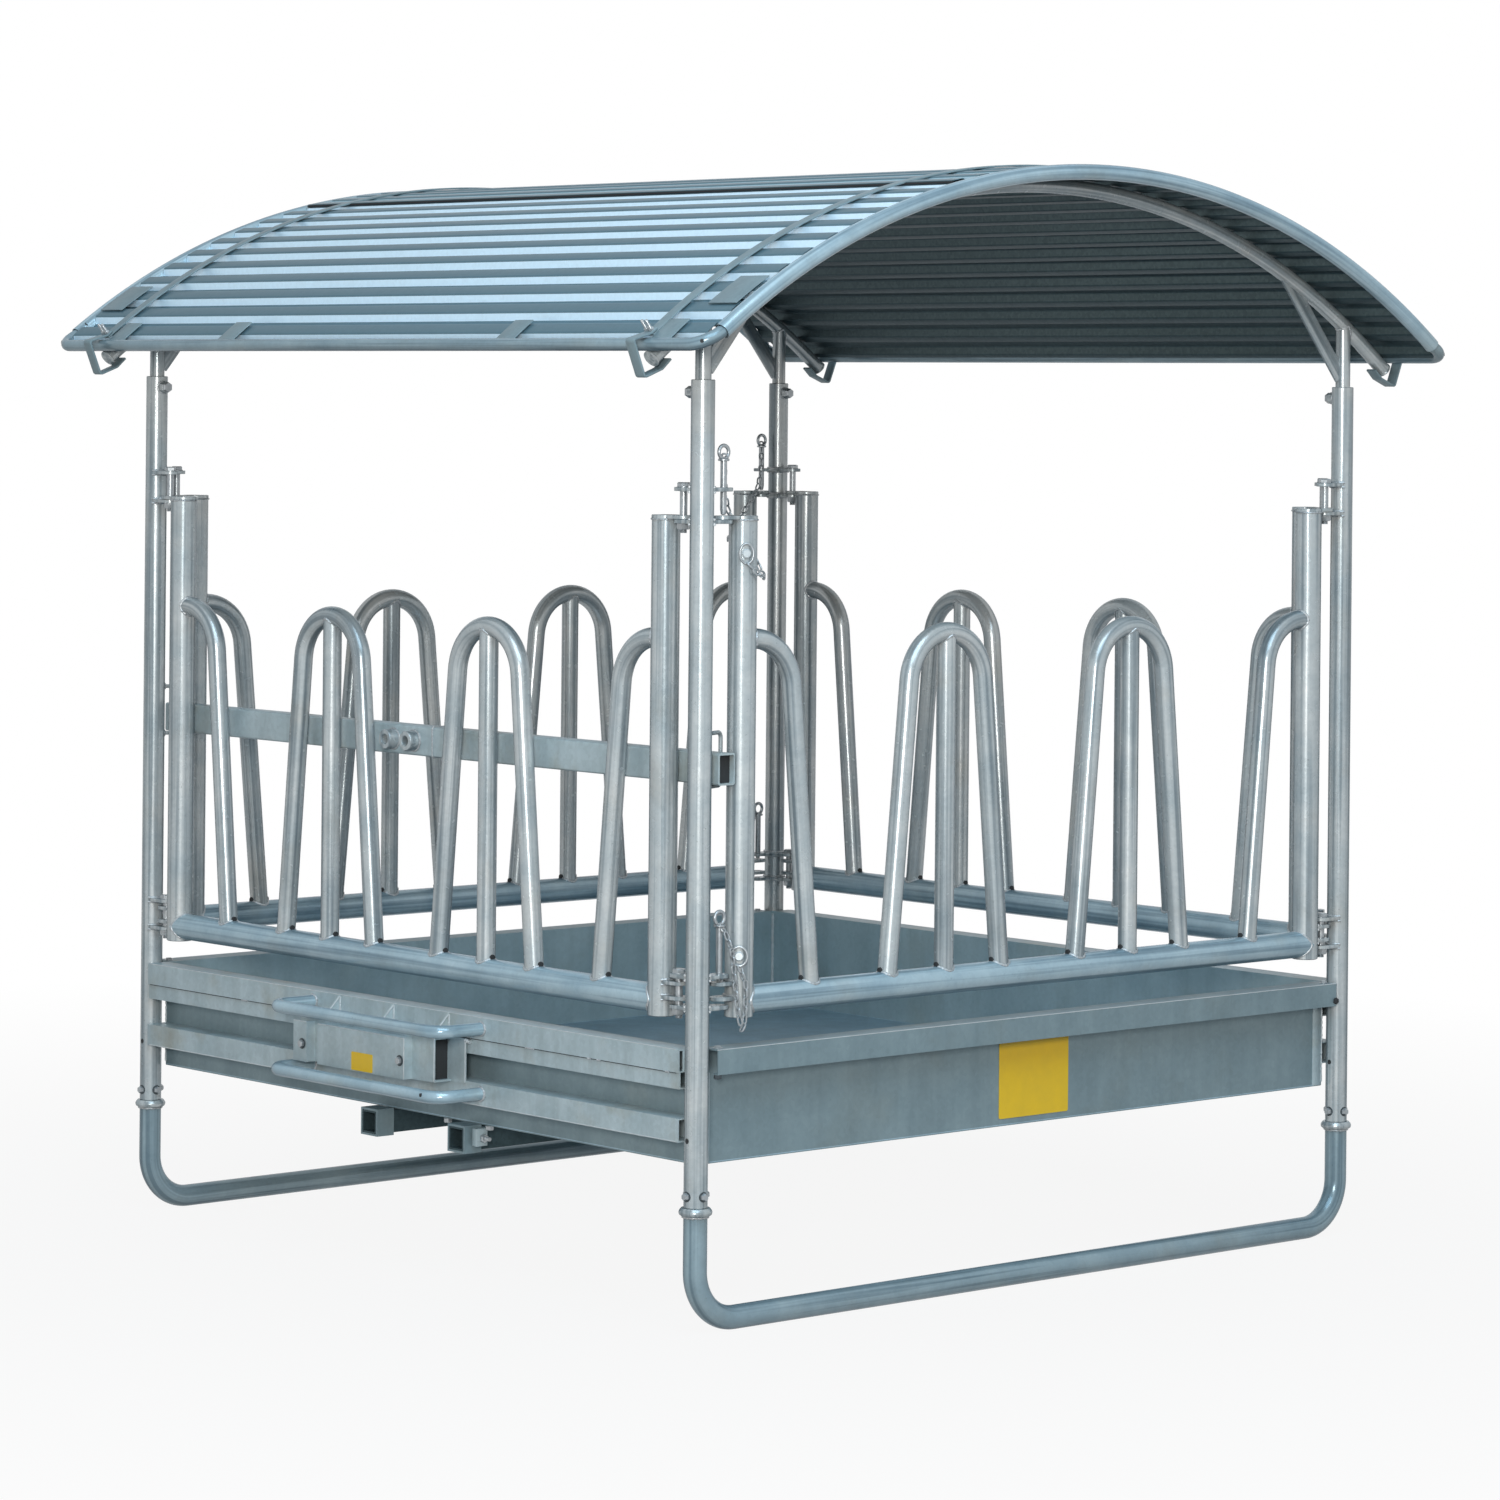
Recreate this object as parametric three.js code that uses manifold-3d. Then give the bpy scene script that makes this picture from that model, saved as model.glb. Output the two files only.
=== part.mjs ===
// A square hay feeder with a lift-off barrel roof, drawn in millimetres with +Z up.
// The origin is on the ground under the middle; the long front gate faces -Y and the hitch side faces -X.
import * as THREE from "three";
import { mergeVertices } from "three/addons/utils/BufferGeometryUtils.js";
import Module from "manifold-3d";

const wasm = await Module();
wasm.setup();

// Gaps between pieces, and the overrun of every cut
const SEAT_GAP = 0.3;
const CUT_OVERRUN = 5;
const MERGE_TOLERANCE = 0.001;

// Facets
const TUBE_SIDES = 12;
const THIN_TUBE_SIDES = 8;
const BEND_STEPS = 4;
const ARCH_BEND_STEPS = 8;
const ROOF_STEPS = 20;
const STRAP_STEPS = 32;
const EAR_STEPS = 2;

// Corner posts
const POST_SPACING = 1960;
const POST_DIAMETER = 50;
const POST_BORE = 44;
const POST_BOTTOM_Z = 262;
const POST_TOP_Z = 1961;
const MOUTH_RING_HEIGHT = 40;
const DRAIN_HOLE_DIAMETER = 11;
const DRAIN_HOLE_Z = 400;

// Set bolt that clamps a roof leg in its post
const SET_BOLT_DIAMETER = 16;
const SET_BOLT_Z = 1935;
const SET_BOLT_REACH = 47;
const SET_NUT_WIDTH = 24;
const SET_NUT_HEIGHT = 13;
const SET_NUT_ROOT = 4.2;
const NUT_SIDES = 6;

// Hinge ears of posts and panels
const PIN_OFFSET = 58;
const EAR_HALF_WIDTH = 20;
const EAR_THICKNESS = 8;
const TOP_UPPER_EAR_Z = 1735;
const TOP_LOWER_EAR_Z = 1668.5;
const LOW_UPPER_EAR_Z = 733;
const LOW_LOWER_EAR_Z = 669;
const HINGE_BOLT_DIAMETER = 16;
const HINGE_BOLT_CLEARANCE = 2;
const HINGE_HEAD_WIDTH = 24;
const HINGE_HEAD_HEIGHT = 10;
const HINGE_NUT_HEIGHT = 13;
const HINGE_THREAD_END = 7;

// Latch pins of the two gates
const LATCH_PIN_DIAMETER = 14;
const LATCH_HOLE_CLEARANCE = 1.6;
const LATCH_PIN_REACH = 111;
const LATCH_COLLAR_DIAMETER = 24;
const LATCH_COLLAR_HEIGHT = 5;
const LATCH_RING_DIAMETER = 27;
const LATCH_RING_ROD = 8;
const LATCH_RING_SIDES = 6;
const LATCH_RING_STEPS = 10;
const LATCH_LIFT_CLEARANCE = 1.5;

// Feeding panels
const PANEL_POST_DIAMETER = 60;
const PANEL_POST_OFFSET = 55;
const PANEL_POST_BOTTOM_Z = 645;
const PANEL_TOP_Z = 1681;
const PANEL_RAIL_DIAMETER = 60;
const PANEL_RAIL_Z = 679;
const PANEL_UPPER_EAR_Z = 717;
const PANEL_LOWER_EAR_Z = 686;
const ARCH_TUBE_DIAMETER = 42.4;
const ARCH_CENTRE_OFFSET = 282;
const ARCH_FOOT_HALF_WIDTH = 165;
const ARCH_CROWN_Z = 1447;
const ARCH_LEG_LEAN = THREE.MathUtils.degToRad(5.2);

// Skids under the posts
const SKID_TUBE_DIAMETER = 50;
const SKID_BEND_RADIUS = 105;
const COLLAR_DIAMETER = 70;
const COLLAR_HEIGHT = 17;
const SPIGOT_DIAMETER = 43.4;
const SPIGOT_LENGTH = 78;

// Trough
const TROUGH_BOTTOM_Z = 343;
const TROUGH_TOP_Z = 585;
const TROUGH_SHEET = 3;
const RIM_DEPTH = 53;
const RIM_LIP_HEIGHT = 52;
const RIM_RETURN = 16;
const RIM_POST_INSET = 34;

// Rails along the two hitch-direction sides of the trough
const SIDE_RAIL_DEPTH = 53;
const SIDE_RAIL_WALL = 3;
const UPPER_RAIL_HEIGHT = 48;
const STRIP_HEIGHT = 34;
const LOWER_RAIL_TOP_Z = 443;
const LOWER_RAIL_HEIGHT = 49;

// Hitch on the left side
const HITCH_BOX_DEPTH = 50;
const HITCH_BOX_BOTTOM_Z = 438;
const HITCH_BOX_TOP_Z = 534;
const HITCH_BOX_NEAR_Y = -203;
const HITCH_BOX_FAR_Y = 282;
const HITCH_PLATE = 4;
const HITCH_FLANGE_WIDTH = 50;
const HITCH_COVER_STAND = 23;
const HITCH_COVER_NEAR_Y = -126;
const HITCH_COVER_FAR_Y = 188;
const HITCH_COVER_DROP = 6;
const HITCH_STOP_NEAR_Y = 229;
const HITCH_STOP_WIDTH = 49;
const GUSSET_PITCH = 197;
const GUSSET_MIDDLE_Y = 8;

// Bumper tubes round the hitch
const BUMPER_DIAMETER = 28;
const BUMPER_HALF_WIDTH = 303;
const BUMPER_DEPTH = 118;
const BUMPER_BEND_RADIUS = 42;
const BUMPER_UPPER_Z = 561;
const BUMPER_LOWER_Z = 421;

// Fork tubes and their sleeves under the trough
const FORK_TUBE_SIZE = 50;
const FORK_TUBE_WALL = 4;
const FORK_SLEEVE_WALL = 4.7;
const FORK_SLEEVE_LENGTH = 46;
const FORK_TUBE_OVERHANG = 20;
const FORK_TUBE_INSET = 30;
const FORK_FAR_Y = 103;
const FORK_NEAR_Y = -209;

// Carrying bar held in two staples behind the left panel
const BAR_WIDTH = 46;
const BAR_HEIGHT = 66;
const BAR_WALL = 4;
const BAR_NEAR_OVERHANG = 22;
const BAR_AXIS_OFFSET = 55;
const STAPLE_ROD_DIAMETER = 9;
const STAPLE_BEND_RADIUS = 12;
const STAPLE_HEIGHT = 110;
const STAPLE_LOWER_Z = 1122;
const STAPLE_DEPTH = 88;
const STAPLE_OFFSET = 36;
const BAR_EYE_DIAMETER = 45;
const BAR_EYE_BORE = 22;
const BAR_EYE_LENGTH = 26;
const BAR_EYE_MIDDLE_Y = 58;
const BAR_EYE_PITCH = 74;

// Roof arches
const TRUSS_RADIUS = 1795;
const TRUSS_OVER_POST_Z = 2102.9;
const TRUSS_END_BEYOND_EAVE = 4;
const ROOF_TUBE_DIAMETER = 34;
const END_CAP_DIAMETER = 38;
const END_CAP_THICKNESS = 4;
const LEG_FOOT_Z = 1600;
const LEG_FOOT_DIAMETER = 43.3;
const LEG_FOOT_HEIGHT = 30;
const LEG_CLEARANCE = 0.7;
const BRACE_WIDTH = 38;
const BRACE_THICKNESS = 6;
const BRACE_FOOT_INSET = 10;
const BRACE_FOOT_RISE = 24;
const BRACE_HEAD_INSET = 198;
const END_ARCH_STEP = 23;
const END_ARCH_OVERHANG = 178;

// Eave tubes
const EAVE_TUBE_DIAMETER = 27;
const EAVE_OVERHANG = 155;
const EAVE_BEND_RADIUS = 45;
const EAVE_JOINT_INSET = 50;
const EAVE_CLIP_LENGTH = 74;
const EAVE_CLIP_THICKNESS = 3;
const EAVE_CLIP_WIDTH = 40;
const EAVE_CLIP_INSET = 55;
const EAVE_CLIP_NEAR_INNER_Y = 490;
const EAVE_CLIP_FAR_INNER_Y = 520;
const EAVE_CLIP_OVERHANG = 45;

// Corrugated roof sheets
const RIB_DEPTH = 18;
const ROOF_SHEET = 1.5;
const LAP_LIFT = 2.1;
const RIBS_PER_SIDE = 16;
const LEFT_SHEET_END_PITCH = -1;
const RIGHT_SHEET_START_PITCH = -2;
const CREST_SHARE = 0.4;
const FLANK_SHARE = 0.15;

// Straps over the roof and their tension hooks
const STRAP_WIDTH = 28;
const STRAP_THICKNESS = 4;
const HOOK_THICKNESS = 5;
const HOOK_REACH = 43;
const HOOK_RISE = 9;
const HOOK_DROP = 67;
const HOOK_TUCK = 31;
const HOOK_RETURN = 30;
const HOOK_OVERLAP = 16;
const HOOK_BEND_RADIUS = 6;
const HOOK_ARCH_CLEARANCE = 6;

// Sizes that follow from the ones above
const POST_HALF_SPACING = POST_SPACING / 2;
const PIN_X = POST_HALF_SPACING - PIN_OFFSET;
const PANEL_POST_X = PIN_X - PANEL_POST_OFFSET;
const HALF_ARCH_X = PANEL_POST_X - PANEL_POST_DIAMETER / 2;
const TROUGH_HALF = POST_HALF_SPACING - POST_DIAMETER / 2 - SEAT_GAP;
const RAIL_FACE = TROUGH_HALF + SIDE_RAIL_DEPTH;
const HITCH_BACK_X = -RAIL_FACE - SEAT_GAP;
const RIM_HALF_LENGTH = POST_HALF_SPACING - RIM_POST_INSET;
const FORK_TUBE_START_X = -POST_HALF_SPACING - FORK_TUBE_OVERHANG;
const FORK_TUBE_END_X = POST_HALF_SPACING - FORK_TUBE_INSET;
const BRACE_HEAD_X = POST_HALF_SPACING - BRACE_HEAD_INSET;
const END_ARCH_Y = POST_HALF_SPACING + END_ARCH_OVERHANG;
const EAVE_X = POST_HALF_SPACING + EAVE_OVERHANG;
const ROOF_TUBE_RADIUS = ROOF_TUBE_DIAMETER / 2;
const ROOF_CENTRE_Z = TRUSS_OVER_POST_Z - Math.sqrt(TRUSS_RADIUS ** 2 - POST_HALF_SPACING ** 2);
const END_ARCH_RADIUS = TRUSS_RADIUS + END_ARCH_STEP;
const END_ARCH_END_X = EAVE_X - EAVE_JOINT_INSET;
const VALLEY_RADIUS = TRUSS_RADIUS + ROOF_TUBE_RADIUS + SEAT_GAP;
const CREST_RADIUS = VALLEY_RADIUS + RIB_DEPTH + ROOF_SHEET + LAP_LIFT;
const EAVE_TUBE_REACH = EAVE_TUBE_DIAMETER / 2 / Math.cos(Math.PI / THIN_TUBE_SIDES) + 2 * SEAT_GAP;
const EAVE_RADIUS = TRUSS_RADIUS + ROOF_TUBE_RADIUS + EAVE_TUBE_REACH;
const EAVE_ANGLE = Math.asin(EAVE_X / EAVE_RADIUS);
const TRUSS_END_ANGLE = EAVE_ANGLE + TRUSS_END_BEYOND_EAVE / TRUSS_RADIUS;
const STRAP_END_ANGLE = EAVE_ANGLE - (EAVE_TUBE_REACH + STRAP_THICKNESS) / EAVE_RADIUS;
const STRAP_RADIUS = (CREST_RADIUS + SEAT_GAP) / Math.cos(STRAP_END_ANGLE / STRAP_STEPS);
const LIFTED_TOP_PIN_Z = PANEL_TOP_Z + LATCH_LIFT_CLEARANCE;
const LIFTED_LOW_PIN_Z = PANEL_UPPER_EAR_Z + EAR_THICKNESS / 2 + LATCH_LIFT_CLEARANCE;

// Finishes
const steel = (color, roughness, metalness) =>
  new THREE.MeshStandardMaterial({ color, roughness, metalness });
const galvanisedTube = steel(0xb4bec4, 0.42, 0.85);
const galvanisedSheet = steel(0x9fadb5, 0.5, 0.8);
const roofSteel = steel(0x8fa9b8, 0.38, 0.85);
const zincPlated = steel(0xc3c8c9, 0.35, 0.9);

const at = (x, y, z) => new THREE.Vector3(x, y, z);

// Closed solid of a geometry, with only its positions kept and shared vertices merged.
function solidOf(geometry) {
  const bare = geometry.clone();
  bare.deleteAttribute("normal");
  bare.deleteAttribute("uv");
  const merged = mergeVertices(bare, MERGE_TOLERANCE);
  return new wasm.Manifold(
    new wasm.Mesh({
      numProp: 3,
      vertProperties: merged.attributes.position.array,
      triVerts: new Uint32Array(merged.index.array),
    }),
  );
}

// Named mesh of a solid.
function meshOf(name, solid, material) {
  const made = solid.getMesh();
  const geometry = new THREE.BufferGeometry();
  geometry.setAttribute("position", new THREE.BufferAttribute(new Float32Array(made.vertProperties), 3));
  geometry.setIndex(new THREE.BufferAttribute(new Uint32Array(made.triVerts), 1));
  geometry.computeVertexNormals();
  const mesh = new THREE.Mesh(geometry, material);
  mesh.name = name;
  return mesh;
}

const joined = (solids) => solids.reduce((whole, next) => whole.add(next));
const without = (solid, cuts) => cuts.reduce((rest, cut) => rest.subtract(cut), solid);

// Box with its corners at low and high.
function block(low, high) {
  const size = high.clone().sub(low);
  const centre = low.clone().add(high).multiplyScalar(1 / 2);
  return solidOf(new THREE.BoxGeometry(size.x, size.y, size.z).translate(centre.x, centre.y, centre.z));
}

// A curve that passes through stations, each with its own direction, so that rings sit only at the bends.
class StationPath extends THREE.Curve {
  constructor(stations) {
    super();
    this.stations = stations;
  }
  station(share) {
    return this.stations[Math.round(share * (this.stations.length - 1))];
  }
  getPoint(share, target = new THREE.Vector3()) {
    return target.copy(this.station(share).point);
  }
  getPointAt(share, target) {
    return this.getPoint(share, target);
  }
  getTangent(share, target = new THREE.Vector3()) {
    return target.copy(this.station(share).direction);
  }
  getTangentAt(share, target) {
    return this.getTangent(share, target);
  }
}

// Regular polygon drawn round a circle, with flats across both axes.
function roundSection(diameter, sides) {
  const radius = diameter / 2 / Math.cos(Math.PI / sides);
  const points = Array.from({ length: sides }, (_, i) => {
    const angle = ((i + 1 / 2) * 2 * Math.PI) / sides;
    return new THREE.Vector2(radius * Math.cos(angle), radius * Math.sin(angle));
  });
  return new THREE.Shape(points);
}

// Round bar along stations.
function barAlong(stations, diameter, sides = TUBE_SIDES) {
  return solidOf(
    new THREE.ExtrudeGeometry(roundSection(diameter, sides), {
      extrudePath: new StationPath(stations),
      steps: stations.length - 1,
    }),
  );
}

// Straight round bar between two points.
function roundBar(from, to, diameter, sides = TUBE_SIDES) {
  const direction = to.clone().sub(from).normalize();
  const stations = [from, to].map((point) => ({ point, direction }));
  return barAlong(stations, diameter, sides);
}

// Stations of a bar through corner points, each corner rounded by an arc.
function roundedStations(corners, bendRadius, steps = BEND_STEPS) {
  const heading = (i) => corners[i + 1].clone().sub(corners[i]).normalize();
  const stations = [{ point: corners[0], direction: heading(0) }];
  for (let i = 1; i < corners.length - 1; i += 1) {
    const into = heading(i - 1);
    const turn = into.angleTo(heading(i));
    const axis = into.clone().cross(heading(i)).normalize();
    const start = corners[i].clone().addScaledVector(into, -bendRadius * Math.tan(turn / 2));
    const centre = start.clone().addScaledVector(axis.clone().cross(into), bendRadius);
    for (let step = 0; step <= steps; step += 1) {
      const angle = (turn * step) / steps;
      const point = start.clone().sub(centre).applyAxisAngle(axis, angle).add(centre);
      stations.push({ point, direction: into.clone().applyAxisAngle(axis, angle) });
    }
  }
  stations.push({ point: corners.at(-1), direction: heading(corners.length - 2) });
  return stations;
}

// Extrusion of a shape drawn in X and Z, centred on y.
function acrossY(shape, width, y = 0) {
  const geometry = new THREE.ExtrudeGeometry(shape, { depth: width, bevelEnabled: false });
  geometry.translate(0, 0, -width / 2 - y);
  geometry.rotateX(Math.PI / 2);
  return solidOf(geometry);
}

// Extrusion of a shape drawn in Y and Z, from x low to x high.
function alongX(shape, low, high) {
  const geometry = new THREE.ExtrudeGeometry(shape, { depth: high - low, bevelEnabled: false });
  geometry.translate(0, 0, low);
  geometry.applyMatrix4(new THREE.Matrix4().makeBasis(at(0, 1, 0), at(0, 0, 1), at(1, 0, 0)));
  return solidOf(geometry);
}

// Extrusion upwards of a shape drawn in X and Y, centred on z.
function plateAt(shape, thickness, z) {
  const geometry = new THREE.ExtrudeGeometry(shape, {
    depth: thickness,
    bevelEnabled: false,
    curveSegments: EAR_STEPS,
  });
  return solidOf(geometry.translate(0, 0, z - thickness / 2));
}

// Rectangle drawn as a shape.
function rectangle(low, high) {
  return new THREE.Shape([
    new THREE.Vector2(low.x, low.y),
    new THREE.Vector2(high.x, low.y),
    new THREE.Vector2(high.x, high.y),
    new THREE.Vector2(low.x, high.y),
  ]);
}

// Section of a rectangular tube with a wall all round.
function tubeSection(low, high, wall) {
  const section = rectangle(low, high);
  const inner = rectangle(low.clone().addScalar(wall), high.clone().addScalar(-wall));
  section.holes.push(inner);
  return section;
}

// Ear towards +X, with a round end about the pin.
function ear(rootX, pinX, z) {
  const shape = new THREE.Shape();
  shape.moveTo(rootX, -EAR_HALF_WIDTH);
  shape.lineTo(pinX, -EAR_HALF_WIDTH);
  shape.absarc(pinX, 0, EAR_HALF_WIDTH, -Math.PI / 2, Math.PI / 2);
  shape.lineTo(rootX, EAR_HALF_WIDTH);
  return plateAt(shape, EAR_THICKNESS, z);
}

const earTop = (z) => z + EAR_THICKNESS / 2;
const earBottom = (z) => z - EAR_THICKNESS / 2;

// Bolt through a pair of ears: head above, nut and thread end below.
function hingeBolt(x, upperEarZ, lowerEarZ) {
  const headTop = at(x, 0, earTop(upperEarZ) + HINGE_HEAD_HEIGHT);
  const nutBottom = at(x, 0, earBottom(lowerEarZ) - HINGE_NUT_HEIGHT);
  const threadEnd = at(x, 0, nutBottom.z - HINGE_THREAD_END);
  return joined([
    roundBar(threadEnd, headTop, HINGE_BOLT_DIAMETER, THIN_TUBE_SIDES),
    roundBar(at(x, 0, earTop(upperEarZ)), headTop, HINGE_HEAD_WIDTH, NUT_SIDES),
    roundBar(nutBottom, at(x, 0, earBottom(lowerEarZ)), HINGE_HEAD_WIDTH, NUT_SIDES),
  ]);
}

// Ears of a post towards +X, with bolts, or with holes for latch pins.
function postEars(hasBolts) {
  const pairs = [
    [TOP_UPPER_EAR_Z, TOP_LOWER_EAR_Z],
    [LOW_UPPER_EAR_Z, LOW_LOWER_EAR_Z],
  ];
  const ears = joined(pairs.flat().map((z) => ear(0, PIN_OFFSET, z)));
  if (hasBolts) {
    const bolts = pairs.map(([upper, lower]) => hingeBolt(PIN_OFFSET, upper, lower));
    return joined([ears, ...bolts]);
  }
  const bottom = at(PIN_OFFSET, 0, POST_BOTTOM_Z);
  const top = at(PIN_OFFSET, 0, POST_TOP_Z);
  const holeDiameter = LATCH_PIN_DIAMETER + LATCH_HOLE_CLEARANCE;
  return ears.subtract(roundBar(bottom, top, holeDiameter, THIN_TUBE_SIDES));
}

// Set bolt with its welded nut, pointing along +X from the post's axis.
function setBolt() {
  const boreFace = (ROOF_TUBE_DIAMETER + LEG_CLEARANCE) / 2;
  const postFace = POST_DIAMETER / 2;
  return joined([
    roundBar(
      at(boreFace + SEAT_GAP, 0, SET_BOLT_Z),
      at(SET_BOLT_REACH, 0, SET_BOLT_Z),
      SET_BOLT_DIAMETER,
      THIN_TUBE_SIDES,
    ),
    roundBar(
      at(postFace - SET_NUT_ROOT, 0, SET_BOLT_Z),
      at(postFace + SET_NUT_HEIGHT, 0, SET_BOLT_Z),
      SET_NUT_WIDTH,
      NUT_SIDES,
    ),
  ]);
}

// Staple rod from the post out to x, y and back.
function staple(x, y) {
  const upperZ = STAPLE_LOWER_Z + STAPLE_HEIGHT;
  const corners = [
    at(0, 0, STAPLE_LOWER_Z),
    at(x, y, STAPLE_LOWER_Z),
    at(x, y, upperZ),
    at(0, 0, upperZ),
  ];
  return barAlong(roundedStations(corners, STAPLE_BEND_RADIUS), STAPLE_ROD_DIAMETER, THIN_TUBE_SIDES);
}

// Corner post about its own axis, with panels towards +X and +Y.
function cornerPost({ latched, stapleAt }) {
  const quarter = (solid) => solid.rotate([0, 0, 90]);
  const pieces = [
    roundBar(at(0, 0, POST_BOTTOM_Z), at(0, 0, POST_TOP_Z), POST_DIAMETER),
    postEars(!latched),
    quarter(postEars(true)),
    latched ? quarter(setBolt()) : setBolt(),
  ];
  if (stapleAt) pieces.push(staple(...stapleAt));
  const ringZ = POST_TOP_Z - MOUTH_RING_HEIGHT;
  const mouth = at(0, 0, POST_TOP_Z + CUT_OVERRUN);
  const holeStart = at(-POST_DIAMETER, 0, DRAIN_HOLE_Z);
  const holeEnd = at(POST_DIAMETER, 0, DRAIN_HOLE_Z);
  const hole = roundBar(holeStart, holeEnd, DRAIN_HOLE_DIAMETER, THIN_TUBE_SIDES);
  return without(joined(pieces), [
    roundBar(at(0, 0, POST_BOTTOM_Z - CUT_OVERRUN), at(0, 0, ringZ), POST_BORE),
    roundBar(at(0, 0, ringZ - CUT_OVERRUN), mouth, ROOF_TUBE_DIAMETER + LEG_CLEARANCE),
    latched ? hole : quarter(hole),
  ]);
}

// U-shaped skid along X, with a collar and a spigot for each post.
function skid() {
  const axisZ = SKID_TUBE_DIAMETER / 2;
  const seatZ = POST_BOTTOM_Z - SEAT_GAP;
  const tube = [
    at(-POST_HALF_SPACING, 0, seatZ - COLLAR_HEIGHT),
    at(-POST_HALF_SPACING, 0, axisZ),
    at(POST_HALF_SPACING, 0, axisZ),
    at(POST_HALF_SPACING, 0, seatZ - COLLAR_HEIGHT),
  ];
  const ends = [-POST_HALF_SPACING, POST_HALF_SPACING].flatMap((x) => [
    roundBar(at(x, 0, seatZ - COLLAR_HEIGHT), at(x, 0, seatZ), COLLAR_DIAMETER),
    roundBar(at(x, 0, seatZ - COLLAR_HEIGHT), at(x, 0, seatZ + SPIGOT_LENGTH), SPIGOT_DIAMETER),
  ]);
  return joined([barAlong(roundedStations(tube, SKID_BEND_RADIUS), SKID_TUBE_DIAMETER), ...ends]);
}

// Crown radius and crown height of the feeding arches, from their feet and the lean of their legs.
const crownZ = ARCH_CROWN_Z - ARCH_TUBE_DIAMETER / 2;
const railTopZ = PANEL_RAIL_Z + PANEL_RAIL_DIAMETER / 2;
const crownHalfWidth = ARCH_FOOT_HALF_WIDTH - (crownZ - railTopZ) * Math.tan(ARCH_LEG_LEAN);
const crownRadius = (crownHalfWidth * Math.cos(ARCH_LEG_LEAN)) / (1 - Math.sin(ARCH_LEG_LEAN));

// Stations of an arch about x = 0 from its left foot to the angle at which it ends.
function archStations(endAngle, steps) {
  const centre = at(0, 0, crownZ - crownRadius);
  const footX = ARCH_FOOT_HALF_WIDTH + (railTopZ - PANEL_RAIL_Z) * Math.tan(ARCH_LEG_LEAN);
  const upTheLeg = at(Math.sin(ARCH_LEG_LEAN), 0, Math.cos(ARCH_LEG_LEAN));
  const stations = [{ point: at(-footX, 0, PANEL_RAIL_Z), direction: upTheLeg }];
  for (let step = 0; step <= steps; step += 1) {
    const angle = THREE.MathUtils.lerp(Math.PI - ARCH_LEG_LEAN, endAngle, step / steps);
    const out = at(Math.cos(angle), 0, Math.sin(angle));
    const point = centre.clone().addScaledVector(out, crownRadius);
    stations.push({ point, direction: at(out.z, 0, -out.x) });
  }
  return stations;
}

// Whole arch with both feet at the height of the rail's axis.
function wholeArch(diameter) {
  const stations = archStations(ARCH_LEG_LEAN, ARCH_BEND_STEPS);
  const foot = stations[0].point;
  stations.push({ point: at(-foot.x, 0, foot.z), direction: stations.at(-1).direction });
  return barAlong(stations, diameter);
}

// Half arch from its foot on the rail to the axis of the end post.
function halfArch() {
  const stations = archStations(Math.PI / 2, ARCH_BEND_STEPS / 2);
  stations.push({ point: at(PANEL_POST_X - HALF_ARCH_X, 0, crownZ), direction: at(1, 0, 0) });
  return barAlong(stations, ARCH_TUBE_DIAMETER);
}

// Lower rail of a panel, grown by a gap all round.
function panelRail(gap) {
  const end = at(PANEL_POST_X, 0, PANEL_RAIL_Z);
  return roundBar(end.clone().setX(-PANEL_POST_X), end, PANEL_RAIL_DIAMETER + 2 * gap);
}

// Right end of a panel: end post, top tongue, two ears and the half arch.
function panelEnd() {
  const capZ = PANEL_TOP_Z - EAR_THICKNESS / 2;
  const postBottom = at(PANEL_POST_X, 0, PANEL_POST_BOTTOM_Z);
  const holeDiameter = HINGE_BOLT_DIAMETER + HINGE_BOLT_CLEARANCE;
  const pieces = [
    roundBar(postBottom, at(PANEL_POST_X, 0, PANEL_TOP_Z), PANEL_POST_DIAMETER),
    ear(PANEL_POST_X, PIN_X, capZ),
    ear(PANEL_POST_X, PIN_X, PANEL_UPPER_EAR_Z),
    ear(PANEL_POST_X, PIN_X, PANEL_LOWER_EAR_Z),
    halfArch().translate([HALF_ARCH_X, 0, 0]),
  ];
  const holeTop = at(PIN_X, 0, PANEL_TOP_Z + CUT_OVERRUN);
  const hole = roundBar(at(PIN_X, 0, PANEL_POST_BOTTOM_Z), holeTop, holeDiameter, THIN_TUBE_SIDES);
  return joined(pieces).subtract(hole);
}

// Meshes of one panel along X, about the middle between its posts.
function panel(name) {
  const end = panelEnd();
  const group = new THREE.Group();
  group.add(meshOf(`${name}_frame`, joined([end, end.rotate([0, 0, 180]), panelRail(0)]), galvanisedTube));
  const arch = wholeArch(ARCH_TUBE_DIAMETER).subtract(panelRail(SEAT_GAP));
  const middleBar = without(roundBar(at(0, 0, PANEL_RAIL_Z), at(0, 0, crownZ), ARCH_TUBE_DIAMETER), [
    panelRail(SEAT_GAP),
    wholeArch(ARCH_TUBE_DIAMETER + 2 * SEAT_GAP),
  ]);
  [-1, 1].forEach((side, i) => {
    const place = [side * ARCH_CENTRE_OFFSET, 0, 0];
    group.add(meshOf(`${name}_arch_${i + 1}`, arch.translate(place), galvanisedTube));
    group.add(meshOf(`${name}_middle_bar_${i + 1}`, middleBar.translate(place), galvanisedTube));
  });
  return group;
}

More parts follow.
